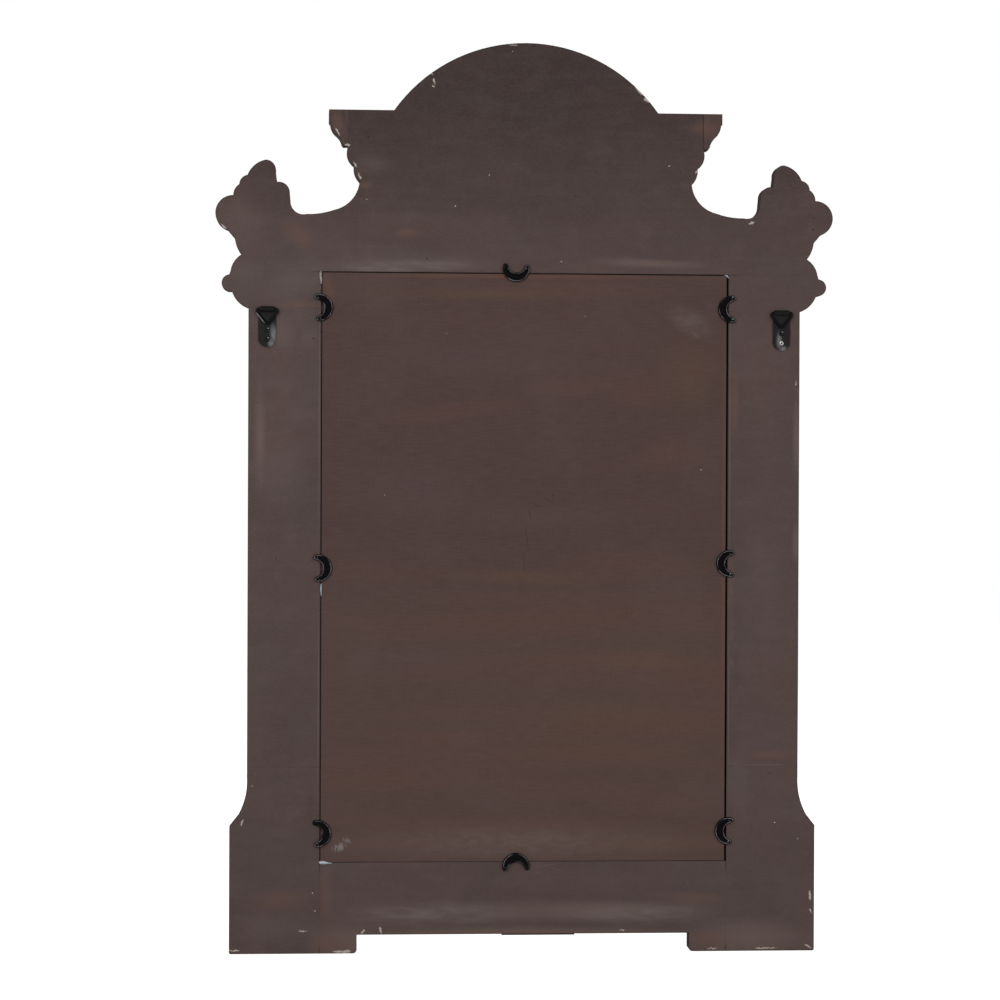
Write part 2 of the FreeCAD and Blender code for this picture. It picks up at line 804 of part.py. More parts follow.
def make_moulded_block(label, half_width, core, bottom, height, projection, shares, x="0"):
    # A moulding returned on both ends: the same profile is seen from the front and the side
    body = new_body(label)
    depth = value(core)
    tall = value(height)
    out = value(projection)

    def profile(start):
        return mapped(shares, lambda share: (start + out * share[0], tall * share[1]))

    front = new_sketch(body, "XZ_Plane", f"{label}Front")
    outline = profile(value(half_width))
    draw_outline(front, outline + backwards(mirrored(outline, -1)))
    pad(body, front, f"{core} + {projection}", f"{label}Block")
    side_view = new_sketch(body, "YZ_Plane", f"{label}Profile")
    margin = size("overrun")
    far = -depth - out - margin
    waste = turned_over(profile(depth))
    last = waste[-1][1] if isinstance(waste[-1][0], tuple) else waste[-1]
    waste = [(far, -margin), (waste[0][0], -margin)] + waste
    waste += [(last[0], tall + margin), (far, tall + margin)]
    draw_outline(side_view, waste)
    cut_through(body, side_view, f"{label}Cut")
    place(body, x=x, y="-Sizes.board_thickness", z=bottom)
    return body


# Mouldings in shares of their projection and height, from the foot to the top
capital_shares = [
    (0.0, 0.0), (0.0, 0.12), ((0.30, 0.20), (0.0, 0.28)), (0.0, 0.50),
    ((0.35, 0.55), (0.72, 0.74)), (1.0, 0.74), (1.0, 1.0)]
pilaster_base_shares = [
    (1.0, 0.0), (1.0, 0.54), ((0.5, 0.64), (0.45, 0.78)),
    ((0.62, 0.86), (0.45, 0.94)), (0.0, 1.0)]
frieze_shares = [
    (0.0, 0.0), (0.0, 0.18), ((0.22, 0.24), (0.0, 0.30)), (0.08, 0.34),
    ((0.25, 0.60), (0.80, 0.70)), (0.88, 0.70), (1.0, 0.76), (1.0, 1.0)]
# Three flutes, spaced over the shaft in shares of its width
flute_spacing_share = 0.29


def make_pilaster(side_name, side):
    centre = signed(side, f"(({sight_edge} + {stile_edge}) / 2)")
    body = new_body(f"{side_name}_pilaster")
    sketch = new_sketch(body, "XZ_Plane", f"{side_name}Shaft")
    draw_rectangle(sketch, f"-{pilaster_half}", pilaster_half, pilaster_foot, pilaster_head)
    pad(body, sketch, "Sizes.pilaster_thickness", f"{side_name}ShaftPad")
    low = value(pilaster_foot) + size("flute_margin")
    high = value(pilaster_head) - size("flute_margin")
    front = -size("pilaster_thickness")
    spacing = 2 * value(pilaster_half) * flute_spacing_share
    for number in (-1, 0, 1):
        name = f"{side_name}Flute{number + 2}"
        flute = body.newObject("PartDesign::SubtractiveCylinder", name)
        flute.setExpression("Radius", "Sizes.flute_radius")
        flute.Height = high - low
        flute.Placement = Placement(Vector(number * spacing, front, low), Rotation())
        for end_name, height in (("Foot", low), ("Head", high)):
            end = body.newObject("PartDesign::SubtractiveSphere", f"{name}{end_name}")
            end.setExpression("Radius", "Sizes.flute_radius")
            end.Placement = Placement(Vector(number * spacing, front, height), Rotation())
    place(body, x=centre, y="-Sizes.board_thickness")
    make_moulded_block(
        f"{side_name}_pilaster_base", pilaster_half, "Sizes.pilaster_thickness", base_seam,
        "Sizes.pilaster_base_height", "Sizes.capital_projection", pilaster_base_shares, centre)
    make_moulded_block(
        f"{side_name}_capital", pilaster_half, "Sizes.pilaster_thickness", pilaster_head,
        "Sizes.capital_height", "Sizes.capital_projection", capital_shares, centre)


def make_frieze_moulding():
    # Ledge across the crest, below the two bays
    return make_moulded_block(
        "frieze_moulding", frieze_half, "Sizes.frieze_core", frieze_foot,
        "Sizes.frieze_height", "Sizes.frieze_projection", frieze_shares)


def make_chamfered_plate(label, half_width, bottom, top, thickness, chamfer):
    body = new_body(label)
    sketch = new_sketch(body, "XZ_Plane", f"{label}Outline")
    draw_rectangle(sketch, f"-{half_width}", half_width, bottom, top)
    plate = pad(body, sketch, thickness, f"{label}Plate")
    bevel = bevel_face(body, plate, -value(thickness), f"{label}Bevel")
    bevel.setExpression("Size", chamfer)
    place(body, y="-Sizes.board_thickness")
    return body


# A carved fan in shares of its radius: notches in its rim, its boss, and its tapered flutes
fan_notch_share = 0.93
fan_boss_share = 0.24
fan_flute_start_share = 0.03
fan_flute_end_share = 0.12
shell_lobes = 9
drop_lobes = 7


def make_fan(label, radius_text, lobes, thickness):
    # Half round fan with a lobed rim, standing on its straight edge
    body = new_body(label)
    radius = value(radius_text)
    depth = value(thickness)
    notch = radius * fan_notch_share

    def spot(number, reach):
        angle = math.pi * number / lobes
        return reach * math.cos(angle), reach * math.sin(angle)

    rim = new_sketch(body, "XZ_Plane", f"{label}Rim")
    outline = [(notch, 0)]
    for number in range(lobes):
        outline.append((spot(number + 1 / 2, radius), spot(number + 1, notch)))
    draw_outline(rim, outline)
    pad(body, rim, thickness, f"{label}Plate")
    for number in range(1, lobes):
        across, up = spot(number, 1)
        heading = Vector(across, 0, up)
        flute = body.newObject("PartDesign::SubtractiveCone", f"{label}Flute{number}")
        flute.Radius1 = radius * fan_flute_start_share
        flute.Radius2 = radius * fan_flute_end_share
        flute.Height = radius
        flute.Placement = Placement(to_front * depth, Rotation(Vector(0, 0, 1), heading))
    boss = new_sketch(body, "XZ_Plane", f"{label}Boss")
    reach = radius * fan_boss_share
    draw_outline(boss, [(reach, 0), ((0, reach), (-reach, 0))])
    pad(body, boss, f"{thickness} + Sizes.carving_gap", f"{label}BossPad")
    return body


# Each clip: the side of the opening that it lies on, and its place along that side
clip_places = {
    "top_clip": ("top", "Sizes.top_clip_shift"),
    "bottom_clip": ("bottom", "Sizes.bottom_clip_shift"),
}
for side_name in sides:
    clip_places[f"{side_name}_upper_clip"] = (
        side_name, f"({opening_top} - Sizes.upper_clip_drop)")
    clip_places[f"{side_name}_middle_clip"] = (
        side_name, f"(({opening_top} + {opening_bottom}) / 2 + Sizes.middle_clip_rise)")
    clip_places[f"{side_name}_lower_clip"] = (
        side_name, f"({opening_bottom} + Sizes.lower_clip_rise)")
# Going round the opening, each side's clips are turned a quarter turn more
clip_sides = ["top", "right", "bottom", "left"]
# The clips were pinned by eye: each leans some degrees, and lies off its place inwards and up
clip_fits = {
    "top_clip": (-2.7, 0.0, 0.0),
    "bottom_clip": (2.7, 0.0, 0.0),
    "left_upper_clip": (0.0, -1.0, 0.8),
    "left_middle_clip": (-1.4, 0.0, 3.4),
    "left_lower_clip": (-4.3, 0.4, 0.8),
    "right_upper_clip": (5.6, 0.5, -0.8),
    "right_middle_clip": (4.0, 0.2, -3.2),
    "right_lower_clip": (4.0, 0.4, -0.8),
}
# The horns' ends are round, and their centres lie a little past the clip's middle line
horn_arm = size("clip_radius") - size("clip_horn_radius")
horn_reach = size("clip_horn_reach")
horn_place = math.sqrt(horn_arm ** 2 - horn_reach ** 2)


def clip_turn(label):
    return 90 * clip_sides.index(clip_places[label][0]) + clip_fits[label][0]


def clip_centre(label):
    # Expressions for the centre of the clip's outer circle, across and above the floor
    side_name, along = clip_places[label]
    _, inwards, up = clip_fits[label]
    if side_name == "top":
        return along, f"({opening_top} + Sizes.clip_setback_ends)"
    if side_name == "bottom":
        return along, f"({opening_bottom} - Sizes.clip_setback_ends)"
    across = f"({opening_edge} + Sizes.clip_setback_sides - {inwards})"
    return signed(sides[side_name], across), f"({along} + {up})"


def make_clip(label):
    # Crescent lying on the back: its belly holds the panel, and its horns are pinned to the frame
    radius = size("clip_radius")
    horn = size("clip_horn_radius")
    belly = radius - size("clip_band")
    rise = (horn_arm ** 2 - (belly + horn) ** 2) / (2 * (horn_reach + belly + horn))
    outer_angle = math.asin(horn_reach / horn_arm)
    inner_angle = math.atan2(rise - horn_reach, -horn_place)

    def horn_point(angle):
        return horn_place + horn * math.cos(angle), horn_reach + horn * math.sin(angle)

    outer = horn_point(outer_angle)
    tip = horn_point((outer_angle + inner_angle) / 2)
    inner = horn_point(inner_angle)
    body = new_body(label)
    sketch = new_sketch(body, "XZ_Plane", f"{label}Outline")
    draw_outline(sketch, [
        outer,
        (tip, inner),
        ((0, -belly), (-inner[0], inner[1])),
        ((-tip[0], tip[1]), (-outer[0], outer[1])),
        ((0, -radius), outer)])
    top = size("clip_thickness")
    plate = pad(body, sketch, "Sizes.clip_thickness", f"{label}Plate", backward=True)
    rim = bevel_face(body, plate, top, f"{label}Rim", "Fillet")
    rim.setExpression("Radius", "Sizes.clip_rim_radius")
    for side_name, side in sides.items():
        drill(
            body, f"{label}{side_name}Hole", Vector(side * horn_place, top, horn_reach), to_front,
            "Sizes.pin_radius + Sizes.pin_play", "Sizes.clip_thickness + Sizes.overrun")
    across, level = clip_centre(label)
    place(body, x=across, z=level, turn=clip_turn(label))
    return body


def pin_points():
    # Every pin's place on the back plane, with x across and z above the floor
    points = []
    for label in clip_places:
        across, level = [value(text) for text in clip_centre(label)]
        turn = Rotation(Vector(0, 1, 0), clip_turn(label))
        for side in sides.values():
            offset = turn.multVec(Vector(side * horn_place, 0, horn_reach))
            points.append(Vector(across, 0, level) + offset)
    return points


def make_group(label, shapes):
    # Identical fasteners share one sub-part, each as a solid of its own
    group = document.addObject("Part::Feature", label)
    group.Label = label
    group.Shape = Part.makeCompound(shapes)
    place(group)
    subparts.append(group)
    return group


# Flat on top of a domed head, as a share of the head's radius
head_flat_share = 0.6


def domed_pin(point, shank_radius, depth, head_radius, head_height, seat):
    # Shank into the wood and a head whose underside is at the given distance off the back
    under = point + Vector(0, seat, 0)
    shank = Part.makeCylinder(shank_radius, depth + seat, under, to_front)
    head = Part.makeCone(
        head_radius, head_radius * head_flat_share, head_height, under, Vector(0, 1, 0))
    return shank.fuse(head).removeSplitter()


def make_clip_pins():
    return make_group("clip_pins", [
        domed_pin(
            point, size("pin_radius"), size("pin_depth"), size("pin_head_radius"),
            size("pin_head_height"), size("clip_thickness"))
        for point in pin_points()])


# The ring's legs fall this much for each unit across
ring_slope_share = 1.213


def ring_sizes():
    # Half width and drop of the ring's centre line, measured to its sharp corners
    slope = math.atan(ring_slope_share)
    bend = size("ring_bend_radius")
    half = size("eye_width") / 2 + size("ring_end_play") + bend / math.tan(slope / 2)
    drop = half * ring_slope_share
    lowest = drop - bend / math.cos(slope) + bend + size("ring_wire_radius")
    return half, drop, lowest


def screw_drops():
    # How far the strap's two screws lie below the ring's bar
    upper = ring_sizes()[2] + size("screw_ring_gap") + size("screw_head_radius")
    return [upper, upper + size("screw_spacing")]


def screw_points():
    return [
        Vector(side * value(strap_place), 0, value(hanging_level) - drop)
        for side in sides.values() for drop in screw_drops()]


def make_hanger_screws():
    return make_group("hanger_screws", [
        domed_pin(
            point, size("screw_radius"), size("screw_depth"), size("screw_head_radius"),
            size("screw_head_height"), size("strap_thickness"))
        for point in screw_points()])


def make_hanger_strap(side_name, side):
    # Steel strap with a round foot, rolled at its top into the eye that carries the ring
    body = new_body(f"{side_name}_hanger_strap")
    half = size("strap_width") / 2
    low = -screw_drops()[1] - size("strap_end_margin")
    eye_half = size("eye_width") / 2
    outer = value(eye_outer)
    sketch = new_sketch(body, "XZ_Plane", f"{side_name}StrapOutline")
    draw_outline(sketch, [
        (eye_half, 0),
        (eye_half, -outer),
        (half, -outer),
        (half, low + half),
        ((0, low), (-half, low + half)),
        (-half, -outer),
        (-eye_half, -outer),
        (-eye_half, 0)])
    pad(body, sketch, "Sizes.strap_thickness", f"{side_name}StrapPlate", backward=True)
    sideways = Rotation(Vector(0, 1, 0), 90)
    eye = body.newObject("PartDesign::AdditiveCylinder", f"{side_name}Eye")
    eye.setExpression("Radius", eye_outer)
    eye.setExpression("Height", "Sizes.eye_width")
    eye.Placement = Placement(Vector(-eye_half, outer, 0), sideways)
    bore = body.newObject("PartDesign::SubtractiveCylinder", f"{side_name}EyeBore")
    bore.setExpression("Radius", "Sizes.ring_wire_radius + Sizes.ring_play")
    bore.setExpression("Height", "Sizes.eye_width + 2 * Sizes.overrun")
    bore.Placement = Placement(Vector(-eye_half - size("overrun"), outer, 0), sideways)
    for number, drop in enumerate(screw_drops()):
        drill(
            body, f"{side_name}StrapHole{number + 1}",
            Vector(0, size("strap_thickness"), -drop), to_front,
            "Sizes.screw_radius + Sizes.ring_play", "Sizes.strap_thickness + Sizes.overrun")
    place(body, x=signed(side, strap_place), z=hanging_level)
    return body


def make_hanger_ring(side_name, side):
    # Triangle of round wire hanging down from the eye, its ends meeting inside the eye
    half, drop, _ = ring_sizes()
    bend = size("ring_bend_radius")
    corners = [Vector(half, 0, 0), Vector(0, 0, -drop), Vector(-half, 0, 0)]
    gap_half = size("ring_joint_gap") / 2
    stops = [Vector(gap_half, 0, 0)] + corners + [Vector(-gap_half, 0, 0)]
    edges = []
    here = stops[0]
    for before, corner, after in zip(stops, corners, stops[2:]):
        back = (before - corner).normalize()
        onward = (after - corner).normalize()
        half_turn = back.getAngle(onward) / 2
        run = bend / math.tan(half_turn)
        start = corner + back * run
        end = corner + onward * run
        inward = (back + onward).normalize()
        middle = corner + inward * (bend / math.sin(half_turn) - bend)
        edges.append(Part.LineSegment(here, start).toShape())
        edges.append(Part.Arc(start, middle, end).toShape())
        here = end
    edges.append(Part.LineSegment(here, stops[-1]).toShape())
    section = Part.Wire(Part.makeCircle(size("ring_wire_radius"), stops[0], Vector(1, 0, 0)))
    ring = document.addObject("Part::Feature", f"{side_name}_hanger_ring")
    ring.Label = f"{side_name}_hanger_ring"
    ring.Shape = Part.Wire(edges).makePipeShell([section], True, False)
    place(ring, x=signed(side, strap_place), y=eye_outer, z=hanging_level)
    subparts.append(ring)
    return ring


# Dowels stand in the stiles at these shares of the stile's width
dowel_place_shares = (0.28, 0.53)


def dowel_rows():
    # Start and direction of every dowel, and its length, in the middle of the boards
    depth = -size("board_thickness") / 2
    reach = size("dowel_reach")
    upper_foot = shoulder_level - reach
    upper_length = crest_level + reach - upper_foot
    lower_foot = value(base_seam) - reach
    rail_levels = [
        size("foot_gap_height") + size("rail_dowel_edge"),
        value(opening_bottom) - size("rail_dowel_edge")]
    rows = []
    for side in sides.values():
        for share in dowel_place_shares:
            across = side * (opening_half + size("stile_width") * share)
            rows.append((Vector(across, depth, upper_foot), Vector(0, 0, 1), upper_length))
            rows.append((Vector(across, depth, lower_foot), Vector(0, 0, 1), 2 * reach))
        for level in rail_levels:
            start = Vector(side * (opening_half - reach), depth, level)
            rows.append((start, Vector(side, 0, 0), 2 * reach))
    return rows


def make_dowels():
    return make_group("dowels", [
        Part.makeCylinder(size("dowel_radius"), length, start, direction)
        for start, direction, length in dowel_rows()])


def bore_board(board):
    # Holes for the dowels, pins and screws that cross or enter this board
    board_box = board.Shape.BoundBox
    lift = Vector(0, 0, -value(hanging_level))
    number = 0
    for start, direction, length in dowel_rows():
        half_reach = direction * (size("dowel_reach") / 2)
        low = start + lift
        high = low + direction * length
        crossed = [low + half_reach, (low + high) / 2, high - half_reach]
        if not any(board_box.isInside(point) for point in crossed):
            continue
        number += 1
        hole = board.newObject("PartDesign::SubtractiveCylinder", f"{board.Name}Dowel{number}")
        hole.setExpression("Radius", "Sizes.dowel_radius + Sizes.seat_play")
        hole.Height = length + 2 * size("seat_play")
        hole.Placement = Placement(
            start - direction * size("seat_play"), Rotation(Vector(0, 0, 1), direction))
    fixings = [(point, "pin") for point in pin_points()]
    fixings += [(point, "screw") for point in screw_points()]
    for point, kind in fixings:
        inside = Vector(point.x, -size("board_thickness") / 2, point.z)
        if board_box.isInside(inside + lift):
            number += 1
            drill(
                board, f"{board.Name}Fixing{number}", point, to_front,
                f"Sizes.{kind}_radius + Sizes.seat_play",
                f"Sizes.{kind}_depth + Sizes.seat_play")


boards = [make_crest_board(), make_bottom_rail()]
for side_name, side in sides.items():
    boards.append(make_shoulder_block(side_name, side))
    boards.append(make_stile(side_name, side))
    boards.append(make_base_block(side_name, side))
document.recompute()
for board in boards:
    bore_board(board)

make_cornice_moulding()
make_arch_moulding()
make_sight_mouldings()
make_glass()
make_backing_panel()
make_frieze_moulding()
make_chamfered_plate(
    "crest_tablet", tablet_half, tablet_foot, f"({cornice_foot} - Sizes.tablet_margin)",
    "Sizes.tablet_thickness", "Sizes.tablet_chamfer")
make_chamfered_plate(
    "apron_board", sight_edge, "(Sizes.foot_gap_height + Sizes.apron_edge)",
    f"({opening_bottom} - Sizes.sight_cover)", "Sizes.apron_thickness", "Sizes.apron_chamfer")
shell = make_fan("pediment_shell", shell_radius, shell_lobes, "Sizes.shell_thickness")
place(shell, y="-Sizes.board_thickness", z=cornice_top)
drop = make_fan("apron_drop", "Sizes.drop_radius", drop_lobes, "Sizes.drop_thickness")
place(
    drop, x="-Sizes.drop_shift", y="-Sizes.board_thickness - Sizes.apron_thickness",
    z="Sizes.drop_low_height")
for label in clip_places:
    make_clip(label)
make_clip_pins()
make_hanger_screws()
make_dowels()
for side_name, side in sides.items():
    make_cornice_end(side_name, side)
    make_ear_carving(side_name, side)
    make_pedestal(side_name, side)
    make_pilaster(side_name, side)
    make_hanger_strap(side_name, side)
    make_hanger_ring(side_name, side)
document.recompute()

for item in document.Objects:
    if "Invalid" in item.State or "Error" in item.State:
        raise RuntimeError(f"{item.Label} could not be built: {item.State}")
for part in subparts:
    if part.Shape.isNull() or not part.Shape.isValid():
        raise RuntimeError(f"{part.Label} has no valid shape")

os.makedirs("parts", exist_ok=True)
for part in subparts:
    part.Shape.exportStep(f"parts/{part.Label}.step")
    print(f"{part.Label}: {len(part.Shape.Solids)} solids, {part.Shape.Volume / 1000:.1f} cm3")
print(f"{len(subparts)} sub-parts written")
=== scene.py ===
import math

import bmesh
import bpy
from mathutils import Matrix, Vector


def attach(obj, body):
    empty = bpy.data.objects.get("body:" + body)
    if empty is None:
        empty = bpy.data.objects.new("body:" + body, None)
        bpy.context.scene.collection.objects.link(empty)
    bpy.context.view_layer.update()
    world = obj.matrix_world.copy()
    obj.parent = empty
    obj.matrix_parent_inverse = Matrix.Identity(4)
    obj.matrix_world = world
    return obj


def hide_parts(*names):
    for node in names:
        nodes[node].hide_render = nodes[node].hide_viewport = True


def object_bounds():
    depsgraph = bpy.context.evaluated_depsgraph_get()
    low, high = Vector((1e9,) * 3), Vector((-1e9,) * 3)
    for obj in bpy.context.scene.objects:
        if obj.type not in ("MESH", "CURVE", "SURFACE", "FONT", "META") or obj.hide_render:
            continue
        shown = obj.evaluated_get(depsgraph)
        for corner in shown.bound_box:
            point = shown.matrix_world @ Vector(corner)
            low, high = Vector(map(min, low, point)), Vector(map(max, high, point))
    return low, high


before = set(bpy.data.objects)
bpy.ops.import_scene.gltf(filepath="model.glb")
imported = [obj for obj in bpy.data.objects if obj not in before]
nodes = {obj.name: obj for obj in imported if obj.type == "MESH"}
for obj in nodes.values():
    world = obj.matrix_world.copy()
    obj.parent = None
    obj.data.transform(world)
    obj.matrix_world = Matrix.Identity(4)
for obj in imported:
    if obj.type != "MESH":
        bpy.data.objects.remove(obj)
cadBox = [list(corner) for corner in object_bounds()]
print("frame loaded:", len(nodes), "nodes")

mm = 0.001
backPlane = 0.0  # the boards' back faces lie at y = 0, and the wall is on the +Y side


def sRgb(hexColour):
    # A colour as a screen shows it, turned to the linear values that nodes take
    channels = []
    for start in (1, 3, 5):
        channel = int(hexColour[start:start + 2], 16) / 255
        if channel <= 0.04045:
            channels.append(channel / 12.92)
        else:
            channels.append(((channel + 0.055) / 1.055) ** 2.4)
    return (*channels, 1.0)


def addNode(tree, kind, inputs=None, output=0, **settings):
    # inputs goes by socket name or number, and holds a value or another node's output
    node = tree.nodes.new(kind)
    for name, setting in settings.items():
        setattr(node, name, setting)
    for socket, source in (inputs or {}).items():
        if isinstance(source, bpy.types.NodeSocket):
            tree.links.new(source, node.inputs[socket])
        else:
            node.inputs[socket].default_value = source
    return node.outputs[output] if node.outputs else node


def newMaterial(name):
    # A material with no nodes yet, and where each of its points lies on the object
    material = bpy.data.materials.new(name)
    material.use_nodes = True
    tree = material.node_tree
    tree.nodes.clear()
    return material, tree, addNode(tree, "ShaderNodeTexCoord", output="Object")


def blotches(tree, place, size, low=0.3, high=0.7, stretch=(1, 1, 1), detail=4.0, warp=0.0):
    # Soft mask of noise: size is one blotch in mm, and low and high are where it is 0 and 1
    placed = addNode(tree, "ShaderNodeMapping", {"Vector": place, "Scale": stretch})
    noise = addNode(
        tree, "ShaderNodeTexNoise",
        {"Vector": placed, "Scale": 1 / (size * mm), "Detail": detail, "Distortion": warp}, "Fac")
    return addNode(
        tree, "ShaderNodeMapRange", {"Value": noise, "From Min": low, "From Max": high},
        "Result", interpolation_type="SMOOTHSTEP")


def layOver(tree, colour, coats):
    # Each coat is its mask, how much it covers where the mask is 1, and its colour
    for mask, cover, coat in coats:
        share = addNode(tree, "ShaderNodeMath", {0: mask, 1: cover}, operation="MULTIPLY")
        colour = addNode(
            tree, "ShaderNodeMix", {0: share, 6: colour, 7: coat}, 2, data_type="RGBA")
    return colour


def markMask(tree, place, marks, softness):
    # Each mark is an ellipse: centre x and z, half length and half width in mm, and its turn
    # in degrees. A gradient measures them, because so many lengths of vectors are more than
    # a shader holds, and the boards would turn black
    total = None
    for x, z, halfLength, halfWidth, turn in marks:
        placed = addNode(
            tree, "ShaderNodeMapping",
            {"Vector": place, "Location": (x * mm, 0, z * mm),
             "Rotation": (0, -math.radians(turn), 0),
             "Scale": (halfLength * mm, 1, halfWidth * mm)}, vector_type="TEXTURE")
        inwards = addNode(
            tree, "ShaderNodeTexGradient", {"Vector": placed}, "Fac", gradient_type="SPHERICAL")
        mask = addNode(
            tree, "ShaderNodeMapRange", {"Value": inwards, "From Max": softness}, "Result",
            interpolation_type="SMOOTHSTEP")
        total = mask if total is None else addNode(
            tree, "ShaderNodeMath", {0: total, 1: mask}, operation="MAXIMUM")
    return total


def paintCoats(tree, place, paint, ready):
    # A paint's coats in their order. Each is named for a mask that is ready, for a list of
    # marks or for a pattern of noise, and a mask that is ready can also be how much it covers
    coats = []
    for name, cover, colour in paint["coats"]:
        cover = ready.get(cover, cover)
        if cover == 0:
            continue
        if name in ready:
            mask = ready[name]
        elif name in paint["softness"]:
            mask = markMask(tree, place, paint[name], paint["softness"][name])
        else:
            mask = blotches(tree, place, *paint[name])
        coats.append((mask, cover, sRgb(paint[colour])))
    return coats


def finishMaterial(tree, settings, relief=None, strength=0.3, depth=0.2):
    # relief is a height map, and depth is how deep it goes in mm
    if relief is not None:
        settings["Normal"] = addNode(
            tree, "ShaderNodeBump",
            {"Strength": strength, "Distance": depth * mm, "Height": relief})
    shader = addNode(tree, "ShaderNodeBsdfPrincipled", settings)
    addNode(tree, "ShaderNodeOutputMaterial", {"Surface": shader})


